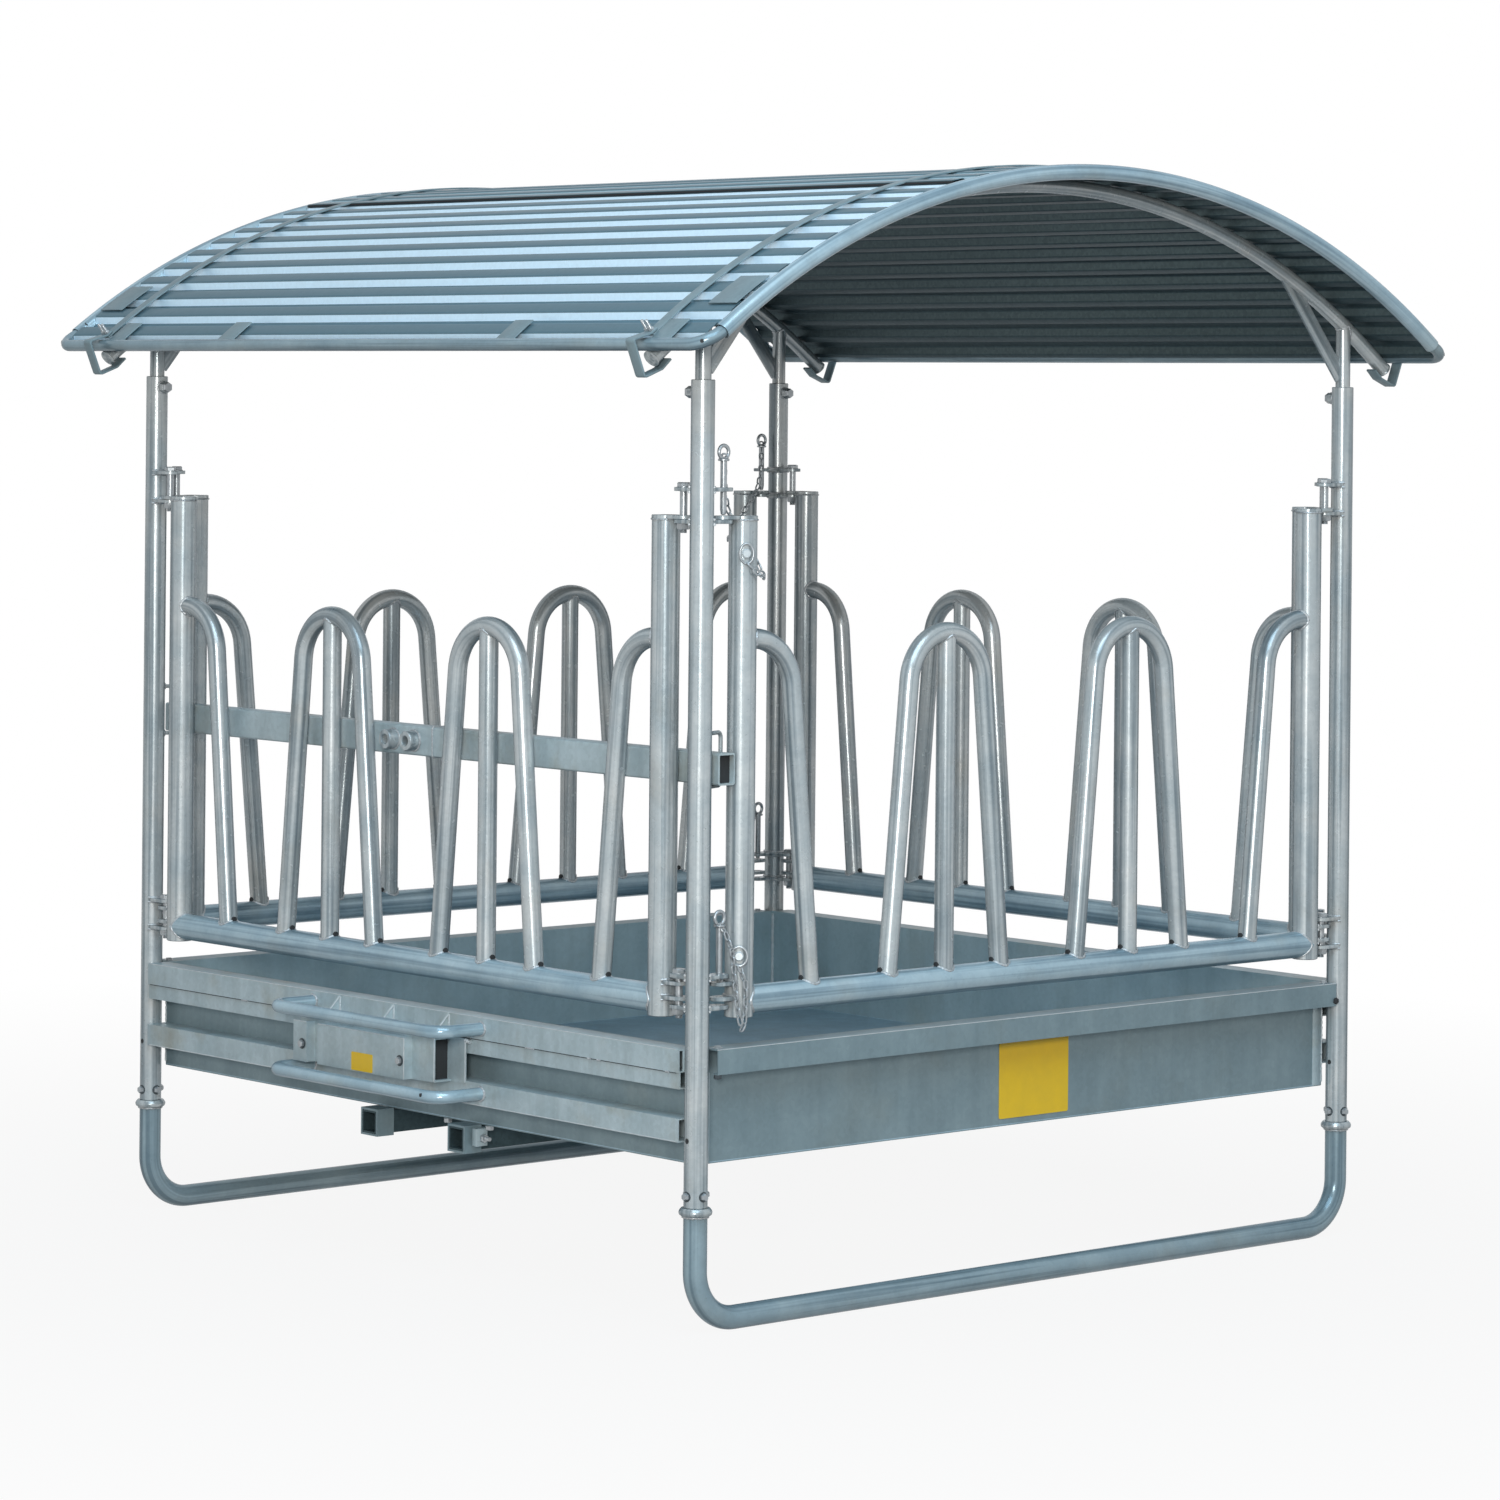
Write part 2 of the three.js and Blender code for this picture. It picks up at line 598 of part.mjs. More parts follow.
// Latch pin with its tip at z = 0, a collar and a pull ring.
function latchPin() {
  const collarTop = LATCH_PIN_REACH + LATCH_COLLAR_HEIGHT;
  const ringZ = collarTop + LATCH_RING_DIAMETER / 2;
  const ring = new THREE.TorusGeometry(
    LATCH_RING_DIAMETER / 2,
    LATCH_RING_ROD / 2,
    LATCH_RING_SIDES,
    LATCH_RING_STEPS,
  );
  ring.rotateX(Math.PI / 2).translate(0, 0, ringZ);
  return joined([
    roundBar(at(0, 0, 0), at(0, 0, collarTop), LATCH_PIN_DIAMETER, THIN_TUBE_SIDES),
    roundBar(at(0, 0, LATCH_PIN_REACH), at(0, 0, collarTop), LATCH_COLLAR_DIAMETER, THIN_TUBE_SIDES),
    solidOf(ring),
  ]);
}

// Folded rim outside one wall of the trough, drawn for the wall that faces +Y.
function troughRim() {
  const outer = TROUGH_HALF + RIM_DEPTH;
  const lipZ = TROUGH_TOP_Z - RIM_LIP_HEIGHT;
  const section = new THREE.Shape([
    new THREE.Vector2(TROUGH_HALF - TROUGH_SHEET, TROUGH_TOP_Z - TROUGH_SHEET),
    new THREE.Vector2(outer - TROUGH_SHEET, TROUGH_TOP_Z - TROUGH_SHEET),
    new THREE.Vector2(outer - TROUGH_SHEET, lipZ + TROUGH_SHEET),
    new THREE.Vector2(outer - RIM_RETURN, lipZ + TROUGH_SHEET),
    new THREE.Vector2(outer - RIM_RETURN, lipZ),
    new THREE.Vector2(outer, lipZ),
    new THREE.Vector2(outer, TROUGH_TOP_Z),
    new THREE.Vector2(TROUGH_HALF - TROUGH_SHEET, TROUGH_TOP_Z),
  ]);
  return alongX(section, -RIM_HALF_LENGTH, RIM_HALF_LENGTH);
}

function troughTray() {
  const inner = TROUGH_HALF - TROUGH_SHEET;
  const rim = troughRim();
  const walls = block(
    at(-TROUGH_HALF, -TROUGH_HALF, TROUGH_BOTTOM_Z),
    at(TROUGH_HALF, TROUGH_HALF, TROUGH_TOP_Z),
  );
  const hollow = block(
    at(-inner, -inner, TROUGH_BOTTOM_Z + TROUGH_SHEET),
    at(inner, inner, TROUGH_TOP_Z + CUT_OVERRUN),
  );
  return joined([walls, rim, rim.rotate([0, 0, 180])]).subtract(hollow);
}

// Half length of the side rails, which butt against the posts.
const railHalfLength = POST_HALF_SPACING - POST_DIAMETER / 2 - SEAT_GAP;

// Rectangular tube along Y with its section given in X and Z.
const tubeAlongY = (low, high, wall, nearY, farY) =>
  acrossY(tubeSection(low, high, wall), farY - nearY, (nearY + farY) / 2);

// Upper side rail with the channel strip below it, on the +X side.
function upperSideRail() {
  const innerX = TROUGH_HALF + SEAT_GAP;
  const railBottom = TROUGH_TOP_Z - UPPER_RAIL_HEIGHT;
  const stripBottom = railBottom - STRIP_HEIGHT;
  const box = tubeAlongY(
    new THREE.Vector2(innerX, railBottom),
    new THREE.Vector2(RAIL_FACE, TROUGH_TOP_Z),
    SIDE_RAIL_WALL,
    -railHalfLength,
    railHalfLength,
  );
  const strip = new THREE.Shape([
    new THREE.Vector2(innerX, stripBottom),
    new THREE.Vector2(RAIL_FACE - SIDE_RAIL_WALL, stripBottom),
    new THREE.Vector2(RAIL_FACE - SIDE_RAIL_WALL, railBottom + SIDE_RAIL_WALL),
    new THREE.Vector2(RAIL_FACE - 2 * SIDE_RAIL_WALL, railBottom + SIDE_RAIL_WALL),
    new THREE.Vector2(RAIL_FACE - 2 * SIDE_RAIL_WALL, stripBottom + SIDE_RAIL_WALL),
    new THREE.Vector2(innerX, stripBottom + SIDE_RAIL_WALL),
  ]);
  return box.add(acrossY(strip, 2 * railHalfLength));
}

function lowerSideRail() {
  return tubeAlongY(
    new THREE.Vector2(TROUGH_HALF + SEAT_GAP, LOWER_RAIL_TOP_Z - LOWER_RAIL_HEIGHT),
    new THREE.Vector2(RAIL_FACE, LOWER_RAIL_TOP_Z),
    SIDE_RAIL_WALL,
    -railHalfLength,
    railHalfLength,
  );
}

// Hitch box on the left side rails: channel, back flange, gussets and the angled stop beside the cover.
function hitchBox() {
  const frontX = HITCH_BACK_X - HITCH_BOX_DEPTH;
  const channel = tubeAlongY(
    new THREE.Vector2(frontX, HITCH_BOX_BOTTOM_Z),
    new THREE.Vector2(HITCH_BACK_X, HITCH_BOX_TOP_Z),
    HITCH_PLATE,
    HITCH_BOX_NEAR_Y,
    HITCH_BOX_FAR_Y,
  );
  const flange = block(
    at(HITCH_BACK_X - HITCH_PLATE, HITCH_BOX_NEAR_Y - HITCH_FLANGE_WIDTH, HITCH_BOX_BOTTOM_Z),
    at(HITCH_BACK_X, HITCH_BOX_NEAR_Y + HITCH_PLATE, HITCH_BOX_TOP_Z),
  );
  const gusset = new THREE.Shape([
    new THREE.Vector2(frontX, HITCH_BOX_TOP_Z - HITCH_PLATE / 2),
    new THREE.Vector2(HITCH_BACK_X, HITCH_BOX_TOP_Z - HITCH_PLATE / 2),
    new THREE.Vector2(HITCH_BACK_X, TROUGH_TOP_Z),
  ]);
  const gussets = [-1, 0, 1].map((i) => acrossY(gusset, HITCH_PLATE, GUSSET_MIDDLE_Y + i * GUSSET_PITCH));
  const stopX = frontX - HITCH_COVER_STAND;
  const stopTop = HITCH_BOX_TOP_Z - HITCH_COVER_DROP;
  const stopFarY = HITCH_STOP_NEAR_Y + HITCH_STOP_WIDTH;
  const stop = [
    block(at(stopX, HITCH_STOP_NEAR_Y, HITCH_BOX_BOTTOM_Z), at(stopX + HITCH_PLATE, stopFarY, stopTop)),
    block(
      at(stopX, HITCH_STOP_NEAR_Y, HITCH_BOX_BOTTOM_Z),
      at(frontX + HITCH_PLATE / 2, HITCH_STOP_NEAR_Y + HITCH_PLATE, stopTop),
    ),
  ];
  return joined([channel, flange, ...gussets, ...stop]);
}

// Pan that stands in front of the hitch box, open towards it.
function hitchCover() {
  const backX = HITCH_BACK_X - HITCH_BOX_DEPTH - SEAT_GAP;
  const frontX = backX - HITCH_COVER_STAND;
  const top = HITCH_BOX_TOP_Z - HITCH_COVER_DROP;
  const pan = block(at(frontX, HITCH_COVER_NEAR_Y, HITCH_BOX_BOTTOM_Z), at(backX, HITCH_COVER_FAR_Y, top));
  const hollow = block(
    at(frontX + HITCH_PLATE, HITCH_COVER_NEAR_Y + HITCH_PLATE, HITCH_BOX_BOTTOM_Z - CUT_OVERRUN),
    at(backX + CUT_OVERRUN, HITCH_COVER_FAR_Y - HITCH_PLATE, top - HITCH_PLATE),
  );
  return pan.subtract(hollow);
}

// Bumper tube standing off the left rails, with both ends against them.
function bumper(z) {
  const frontX = HITCH_BACK_X - BUMPER_DEPTH;
  const corners = [
    at(HITCH_BACK_X, BUMPER_HALF_WIDTH, z),
    at(frontX, BUMPER_HALF_WIDTH, z),
    at(frontX, -BUMPER_HALF_WIDTH, z),
    at(HITCH_BACK_X, -BUMPER_HALF_WIDTH, z),
  ];
  return barAlong(roundedStations(corners, BUMPER_BEND_RADIUS), BUMPER_DIAMETER, THIN_TUBE_SIDES);
}

// Square section centred on y, hung from the underside of the trough.
function forkSection(y, size, wall) {
  const topZ = TROUGH_BOTTOM_Z - SEAT_GAP;
  const sleeveSize = FORK_TUBE_SIZE + 2 * (SEAT_GAP + FORK_SLEEVE_WALL);
  const centreZ = topZ - sleeveSize / 2;
  return tubeSection(
    new THREE.Vector2(y - size / 2, centreZ - size / 2),
    new THREE.Vector2(y + size / 2, centreZ + size / 2),
    wall,
  );
}

function forkSleeve(y) {
  const size = FORK_TUBE_SIZE + 2 * (SEAT_GAP + FORK_SLEEVE_WALL);
  return alongX(
    forkSection(y, size, FORK_SLEEVE_WALL),
    FORK_TUBE_START_X,
    FORK_TUBE_START_X + FORK_SLEEVE_LENGTH,
  );
}

const forkTube = (y) =>
  alongX(forkSection(y, FORK_TUBE_SIZE, FORK_TUBE_WALL), FORK_TUBE_START_X, FORK_TUBE_END_X);

// Carrying bar with two eyes that point away from the feeder.
function carryingBar() {
  const centreX = -POST_HALF_SPACING + BAR_AXIS_OFFSET;
  const bottomZ = STAPLE_LOWER_Z + STAPLE_ROD_DIAMETER / 2 + SEAT_GAP;
  const tube = tubeAlongY(
    new THREE.Vector2(centreX - BAR_WIDTH / 2, bottomZ),
    new THREE.Vector2(centreX + BAR_WIDTH / 2, bottomZ + BAR_HEIGHT),
    BAR_WALL,
    -POST_HALF_SPACING - BAR_NEAR_OVERHANG,
    POST_HALF_SPACING,
  );
  const faceX = centreX - BAR_WIDTH / 2;
  const eyeZ = bottomZ + BAR_HEIGHT / 2;
  const eyes = [-1, 1].map((side) => {
    const y = BAR_EYE_MIDDLE_Y + (side * BAR_EYE_PITCH) / 2;
    const start = at(faceX - BAR_EYE_LENGTH, y, eyeZ);
    const outside = roundBar(start, at(faceX + BAR_WALL / 2, y, eyeZ), BAR_EYE_DIAMETER);
    const bore = roundBar(start.clone().setX(start.x - CUT_OVERRUN), at(centreX, y, eyeZ), BAR_EYE_BORE);
    return { outside, bore };
  });
  return without(
    joined([tube, ...eyes.map((eye) => eye.outside)]),
    eyes.map((eye) => eye.bore),
  );
}

// Point of the roof's cross-section at a radius and an angle from the top.
const roofPoint = (radius, angle) =>
  new THREE.Vector2(radius * Math.sin(angle), ROOF_CENTRE_Z + radius * Math.cos(angle));

// Stations of a roof arch in the XZ plane between plus and minus an angle.
function roofArc(radius, endAngle) {
  return Array.from({ length: ROOF_STEPS + 1 }, (_, i) => {
    const angle = THREE.MathUtils.lerp(-endAngle, endAngle, i / ROOF_STEPS);
    const { x, y: z } = roofPoint(radius, angle);
    return { point: at(x, 0, z), direction: at(Math.cos(angle), 0, -Math.sin(angle)) };
  });
}

// Flat bar in the XZ plane between two points of its centre line.
function flatBrace(from, to) {
  const along = to.clone().sub(from).normalize();
  const side = new THREE.Vector2(-along.y, along.x).multiplyScalar(BRACE_WIDTH / 2);
  const outline = [
    from.clone().sub(side),
    to.clone().sub(side),
    to.clone().add(side),
    from.clone().add(side),
  ];
  return acrossY(new THREE.Shape(outline), BRACE_THICKNESS);
}

// Roof truss: arch, end caps, two legs with guide feet and two braces.
function roofTruss() {
  const arc = roofArc(TRUSS_RADIUS, TRUSS_END_ANGLE);
  const caps = [arc[0], arc.at(-1)].map(({ point, direction }, i) => {
    const out = direction.clone().multiplyScalar(i === 0 ? -END_CAP_THICKNESS : END_CAP_THICKNESS);
    return roundBar(point, point.clone().add(out), END_CAP_DIAMETER);
  });
  const archZ = (x) => ROOF_CENTRE_Z + Math.sqrt(TRUSS_RADIUS ** 2 - x ** 2);
  const legs = [-1, 1].flatMap((side) => {
    const x = side * POST_HALF_SPACING;
    return [
      roundBar(at(x, 0, LEG_FOOT_Z), at(x, 0, archZ(x)), ROOF_TUBE_DIAMETER),
      roundBar(at(x, 0, LEG_FOOT_Z), at(x, 0, LEG_FOOT_Z + LEG_FOOT_HEIGHT), LEG_FOOT_DIAMETER),
      flatBrace(
        new THREE.Vector2(side * (POST_HALF_SPACING - BRACE_FOOT_INSET), POST_TOP_Z + BRACE_FOOT_RISE),
        new THREE.Vector2(side * BRACE_HEAD_X, archZ(BRACE_HEAD_X)),
      ),
    ];
  });
  const eave = eaveBar(EAVE_TUBE_DIAMETER + 2 * SEAT_GAP);
  const cutCaps = without(joined(caps), [eave, eave.rotate([0, 0, 180])]);
  return joined([barAlong(arc, ROOF_TUBE_DIAMETER, THIN_TUBE_SIDES), cutCaps, ...legs]);
}

const endArchAngle = Math.asin(END_ARCH_END_X / END_ARCH_RADIUS);
const endArch = () => barAlong(roofArc(END_ARCH_RADIUS, endArchAngle), ROOF_TUBE_DIAMETER, THIN_TUBE_SIDES);

// Bar along the eave on the +X side, bent at both corners to meet the end arches.
function eaveBar(diameter) {
  const { x: eaveX, y: eaveZ } = roofPoint(EAVE_RADIUS, EAVE_ANGLE);
  const arc = roofArc(END_ARCH_RADIUS, endArchAngle).at(-1);
  const start = arc.point.clone().addScaledVector(arc.direction, SEAT_GAP);
  const corners = [
    start.clone().setY(-END_ARCH_Y),
    at(eaveX, -END_ARCH_Y, eaveZ),
    at(eaveX, END_ARCH_Y, eaveZ),
    start.clone().setY(END_ARCH_Y),
  ];
  const stations = roundedStations(corners, EAVE_BEND_RADIUS);
  stations[0].direction = arc.direction;
  stations.at(-1).direction = arc.direction.clone().negate();
  return barAlong(stations, diameter, THIN_TUBE_SIDES);
}

// Eave tube on the +X side with the clips that hold the sheet.
function eaveTube() {
  const clipRadius = CREST_RADIUS + 2 * SEAT_GAP;
  const clipStart = EAVE_ANGLE - EAVE_CLIP_LENGTH / clipRadius;
  const clip = arcStrip(clipRadius, EAVE_CLIP_THICKNESS, clipStart, EAVE_ANGLE, 1);
  const places = [
    EAVE_CLIP_INSET - POST_HALF_SPACING,
    -EAVE_CLIP_NEAR_INNER_Y,
    EAVE_CLIP_FAR_INNER_Y,
    POST_HALF_SPACING + EAVE_CLIP_OVERHANG,
  ];
  return joined([eaveBar(EAVE_TUBE_DIAMETER), ...places.map((y) => acrossY(clip, EAVE_CLIP_WIDTH, y))]);
}

// Outline of a strip that follows the roof between two angles.
function arcStrip(radius, thickness, fromAngle, toAngle, steps) {
  const angles = Array.from({ length: steps + 1 }, (_, i) =>
    THREE.MathUtils.lerp(fromAngle, toAngle, i / steps),
  );
  const inner = angles.map((angle) => roofPoint(radius, angle));
  const outer = angles.map((angle) => roofPoint(radius + thickness, angle)).reverse();
  return new THREE.Shape([...inner, ...outer]);
}

// Corrugated sheet between two counts of rib pitches from the top, lifted where it laps its neighbour.
function roofSheet(fromPitch, toPitch, lift) {
  const pitchAngle = (EAVE_ANGLE - EAVE_TUBE_REACH / VALLEY_RADIUS) / RIBS_PER_SIDE;
  const valleyShare = 1 - CREST_SHARE - 2 * FLANK_SHARE;
  const corners = [
    [valleyShare / 2, 0],
    [valleyShare / 2 + FLANK_SHARE, 1],
    [valleyShare / 2 + FLANK_SHARE + CREST_SHARE, 1],
    [1 - valleyShare / 2, 0],
  ];
  const profile = [[fromPitch, 0]];
  for (let pitch = fromPitch; pitch < toPitch; pitch += 1) {
    profile.push(...corners.map(([share, height]) => [pitch + share, height]));
  }
  profile.push([toPitch, 0]);
  const edge = (thickness) =>
    profile.map(([pitch, height]) =>
      roofPoint(VALLEY_RADIUS + lift + height * RIB_DEPTH + thickness, pitch * pitchAngle),
    );
  const outline = new THREE.Shape([...edge(0), ...edge(ROOF_SHEET).reverse()]);
  const width = 2 * (END_ARCH_Y - ROOF_TUBE_RADIUS - SEAT_GAP);
  const eave = eaveBar(EAVE_TUBE_DIAMETER + 2 * SEAT_GAP);
  return without(acrossY(outline, width), [eave, eave.rotate([0, 0, 180])]);
}

// Strap over the ribs above a truss.
function roofStrap() {
  const outline = arcStrip(STRAP_RADIUS, STRAP_THICKNESS, -STRAP_END_ANGLE, STRAP_END_ANGLE, STRAP_STEPS);
  return acrossY(outline, STRAP_WIDTH);
}

// Tension hook at a truss's +X end: over the strap's end, down outside the eave, back under the truss.
function tensionHook() {
  const eave = roofPoint(EAVE_RADIUS, EAVE_ANGLE);
  const hookRadius = STRAP_RADIUS + STRAP_THICKNESS + SEAT_GAP + HOOK_THICKNESS / 2;
  const onStrap = (back) => {
    const { x, y } = roofPoint(hookRadius, STRAP_END_ANGLE - back / hookRadius);
    return at(x, 0, y);
  };
  const underTruss = (clearance, back) => {
    const radius = TRUSS_RADIUS - ROOF_TUBE_RADIUS - clearance - HOOK_THICKNESS / 2;
    const { x, y } = roofPoint(radius, TRUSS_END_ANGLE - back / radius);
    return at(x, 0, y);
  };
  const corners = [
    onStrap(HOOK_OVERLAP),
    onStrap(0),
    at(eave.x + HOOK_REACH, 0, eave.y + HOOK_RISE),
    at(eave.x + HOOK_REACH - HOOK_TUCK, 0, eave.y - HOOK_DROP),
    underTruss(HOOK_ARCH_CLEARANCE + END_CAP_THICKNESS / 2, 0),
    underTruss(HOOK_ARCH_CLEARANCE, HOOK_RETURN),
  ];
  const section = rectangle(
    new THREE.Vector2(-STRAP_WIDTH / 2, -HOOK_THICKNESS / 2),
    new THREE.Vector2(STRAP_WIDTH / 2, HOOK_THICKNESS / 2),
  );
  const stations = roundedStations(corners, HOOK_BEND_RADIUS);
  return solidOf(
    new THREE.ExtrudeGeometry(section, {
      extrudePath: new StationPath(stations),
      steps: stations.length - 1,
    }),
  );
}

// Group turned about the vertical and placed at x, y, z.
function placed(meshes, x, y, z, quarterTurns = 0) {
  const group = new THREE.Group();
  group.add(...meshes);
  group.position.set(x, y, z);
  group.rotation.z = (quarterTurns * Math.PI) / 2;
  return group;
}

function baseFrame() {
  const half = POST_HALF_SPACING;
  const post = (name, options) => meshOf(name, cornerPost(options), galvanisedTube);
  const near = { latched: true, stapleAt: [STAPLE_DEPTH, STAPLE_OFFSET] };
  const left = { latched: false, stapleAt: [STAPLE_OFFSET, STAPLE_DEPTH] };
  const group = new THREE.Group();
  group.add(
    placed([post("corner_post_near", near)], -half, -half, 0, 0),
    placed([post("corner_post_right", { latched: false })], half, -half, 0, 1),
    placed([post("corner_post_far", { latched: true })], half, half, 0, 2),
    placed([post("corner_post_left", left)], -half, half, 0, 3),
    placed([meshOf("skid_front", skid(), galvanisedTube)], 0, -half, 0),
    placed([meshOf("skid_back", skid(), galvanisedTube)], 0, half, 0),
  );
  return group;
}

function trough() {
  const group = new THREE.Group();
  group.add(
    meshOf("trough_tray", troughTray(), galvanisedSheet),
    meshOf("side_rail_upper_right", upperSideRail(), galvanisedSheet),
    meshOf("side_rail_lower_right", lowerSideRail(), galvanisedSheet),
    placed([meshOf("side_rail_upper_left", upperSideRail(), galvanisedSheet)], 0, 0, 0, 2),
    placed([meshOf("side_rail_lower_left", lowerSideRail(), galvanisedSheet)], 0, 0, 0, 2),
    meshOf("fork_sleeve_far", forkSleeve(FORK_FAR_Y), galvanisedSheet),
    meshOf("fork_sleeve_near", forkSleeve(FORK_NEAR_Y), galvanisedSheet),
    meshOf("fork_tube_far", forkTube(FORK_FAR_Y), galvanisedTube),
    meshOf("fork_tube_near", forkTube(FORK_NEAR_Y), galvanisedTube),
  );
  return group;
}

function hitch() {
  const group = new THREE.Group();
  group.add(
    meshOf("hitch_box", hitchBox(), galvanisedSheet),
    meshOf("hitch_cover", hitchCover(), galvanisedSheet),
    meshOf("bumper_upper", bumper(BUMPER_UPPER_Z), galvanisedTube),
    meshOf("bumper_lower", bumper(BUMPER_LOWER_Z), galvanisedTube),
    meshOf("carrying_bar", carryingBar(), galvanisedTube),
  );
  return group;
}

function panels() {
  const half = POST_HALF_SPACING;
  const group = new THREE.Group();
  group.add(
    placed([panel("front_gate")], 0, -half, 0, 0),
    placed([panel("right_panel")], half, 0, 0, 1),
    placed([panel("back_gate")], 0, half, 0, 2),
    placed([panel("left_panel")], -half, 0, 0, 3),
  );
  return group;
}

function latchPins() {
  const group = new THREE.Group();
  const corners = [
    ["front", -1],
    ["back", 1],
  ];
  const levels = [
    ["top", LIFTED_TOP_PIN_Z],
    ["low", LIFTED_LOW_PIN_Z],
  ];
  for (const [gate, side] of corners) {
    for (const [level, tipZ] of levels) {
      const pin = meshOf(`latch_pin_${gate}_${level}`, latchPin(), zincPlated);
      group.add(placed([pin], side * PIN_X, side * POST_HALF_SPACING, tipZ));
    }
  }
  return group;
}

function roof() {
  const group = new THREE.Group();
  group.add(
    meshOf("roof_sheet_left", roofSheet(-RIBS_PER_SIDE, LEFT_SHEET_END_PITCH, 0), roofSteel),
    meshOf("roof_sheet_right", roofSheet(RIGHT_SHEET_START_PITCH, RIBS_PER_SIDE, LAP_LIFT), roofSteel),
    placed([meshOf("eave_tube_right", eaveTube(), galvanisedTube)], 0, 0, 0, 0),
    placed([meshOf("eave_tube_left", eaveTube(), galvanisedTube)], 0, 0, 0, 2),
  );
  for (const [end, side] of [
    ["front", -1],
    ["back", 1],
  ]) {
    const y = side * POST_HALF_SPACING;
    group.add(
      placed([meshOf(`roof_truss_${end}`, roofTruss(), galvanisedTube)], 0, y, 0),
      placed([meshOf(`end_arch_${end}`, endArch(), galvanisedTube)], 0, side * END_ARCH_Y, 0),
      placed([meshOf(`roof_strap_${end}`, roofStrap(), galvanisedSheet)], 0, y, 0),
      placed([meshOf(`tension_hook_${end}_right`, tensionHook(), galvanisedSheet)], 0, y, 0, 0),
      placed([meshOf(`tension_hook_${end}_left`, tensionHook(), galvanisedSheet)], 0, y, 0, 2),
    );
  }
  return group;
}

const feeder = new THREE.Group();
feeder.add(baseFrame(), trough(), hitch(), panels(), latchPins(), roof());

export default feeder;
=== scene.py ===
"""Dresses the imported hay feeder: smooth tubes, welds, bolts, chains, seams and galvanised finishes."""

import math

import bpy
import numpy as np
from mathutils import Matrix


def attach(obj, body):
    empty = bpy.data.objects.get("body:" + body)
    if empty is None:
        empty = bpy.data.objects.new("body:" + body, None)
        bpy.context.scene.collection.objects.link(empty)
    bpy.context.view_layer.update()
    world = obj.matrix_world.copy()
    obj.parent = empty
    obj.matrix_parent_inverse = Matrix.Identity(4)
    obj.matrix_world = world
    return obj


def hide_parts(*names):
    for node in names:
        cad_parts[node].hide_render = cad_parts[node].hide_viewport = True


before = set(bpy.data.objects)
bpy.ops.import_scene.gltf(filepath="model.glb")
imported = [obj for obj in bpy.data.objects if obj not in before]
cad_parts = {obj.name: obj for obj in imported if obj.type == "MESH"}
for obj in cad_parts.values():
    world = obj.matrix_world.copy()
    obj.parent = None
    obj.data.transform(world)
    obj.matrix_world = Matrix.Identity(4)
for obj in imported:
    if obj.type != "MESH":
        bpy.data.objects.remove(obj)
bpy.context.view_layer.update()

bl_info = {
    "name": "Hay Feeder Dressing",
    "version": (1, 0, 0),
    "blender": (4, 5, 0),
    "location": "3D View > Sidebar > Feeder",
    "description": "Smooth tubes, fittings and galvanised finishes for the hay feeder",
    "category": "Object",
}

MM = 0.001
X_AXIS = np.array([1.0, 0.0, 0.0])
Y_AXIS = np.array([0.0, 1.0, 0.0])
Z_AXIS = np.array([0.0, 0.0, 1.0])

# Sizes of the solids, in millimetres
POST_HALF = 980
POST_RADIUS = 25
POST_BOTTOM = 262
POST_TOP = 1961
MOUTH_RADIUS = 17.4
MOUTH_DEPTH = 30
DRAIN_Z = 400
SET_BOLT_Z = 1935
SET_BOLT_REACH = 47
PIN_OFFSET = 58
PIN_X = 922
EAR_HALF = 20
EAR_THICKNESS = 8
EAR_CHAMFER = 0.8
EAR_PAIRS = ((1735, 1668.5), (733, 669))
LATCH_HOLE_RADIUS = 7.8
PANEL_HOLE_RADIUS = 9
PANEL_POST_X = 867
PANEL_POST_RADIUS = 30
PANEL_BOTTOM = 645
PANEL_TOP = 1681
RAIL_Z = 679
RAIL_RADIUS = 30
PANEL_EARS = (717, 686)
ARCH_RADIUS = 21.2
ARCH_CENTRE = 282
HALF_ARCH_X = 837
ARCH_FOOT = 165
ARCH_CROWN = 1425.8
ARCH_LEAN = math.radians(5.2)
SKID_RADIUS = 25
SKID_BEND = 105
COLLAR_HEIGHT = 17
TROUGH_HALF = 954.7
TRAY_INSIDE = TROUGH_HALF - 1.5
TROUGH_TOP = 585
RIM_OUTER = 1007.7
RIM_LIP_BOTTOM = 533
TRAY_FLOOR = 346
HITCH_BACK = -1008
HITCH_FRONT = -1058
COVER_FRONT = -1081.3
HITCH_TOP = 534
BUMPER_RADIUS = 14
BUMPER_HALF = 303
BUMPER_FRONT = -1126
BUMPER_BEND = 42
BUMPER_LEVELS = {"upper": 561, "lower": 421}
BAR_CENTRE_X = -925
BAR_CENTRE_Z = 1159.8
BAR_ENDS = (-1002, POST_HALF)
BAR_SIZE = (46, 66)
BAR_WALL = 4
BAR_EYES = (21, 95)
STAPLE_Z = (1122, 1232)
STAPLE_REACH = (88, 36)
STAPLE_RADIUS = 4.5
STAPLE_BEND = 12
TRUSS_RADIUS = 1795
ROOF_CENTRE = 2102.9 - math.sqrt(TRUSS_RADIUS**2 - POST_HALF**2)
ROOF_TUBE = 17
LEG_FOOT = 1600
END_ARCH_RADIUS = 1818
END_ARCH_Y = 1158
END_ARCH_END_X = 1085
EAVE_TUBE = 13.5
EAVE_X = 1135
EAVE_REACH = EAVE_TUBE / math.cos(math.pi / 8) + 0.6
EAVE_RADIUS = TRUSS_RADIUS + ROOF_TUBE + EAVE_REACH
EAVE_ANGLE = math.asin(EAVE_X / EAVE_RADIUS)
TRUSS_END = EAVE_ANGLE + 4 / TRUSS_RADIUS
EAVE_BEND = 45
VALLEY_RADIUS = TRUSS_RADIUS + ROOF_TUBE + 0.3
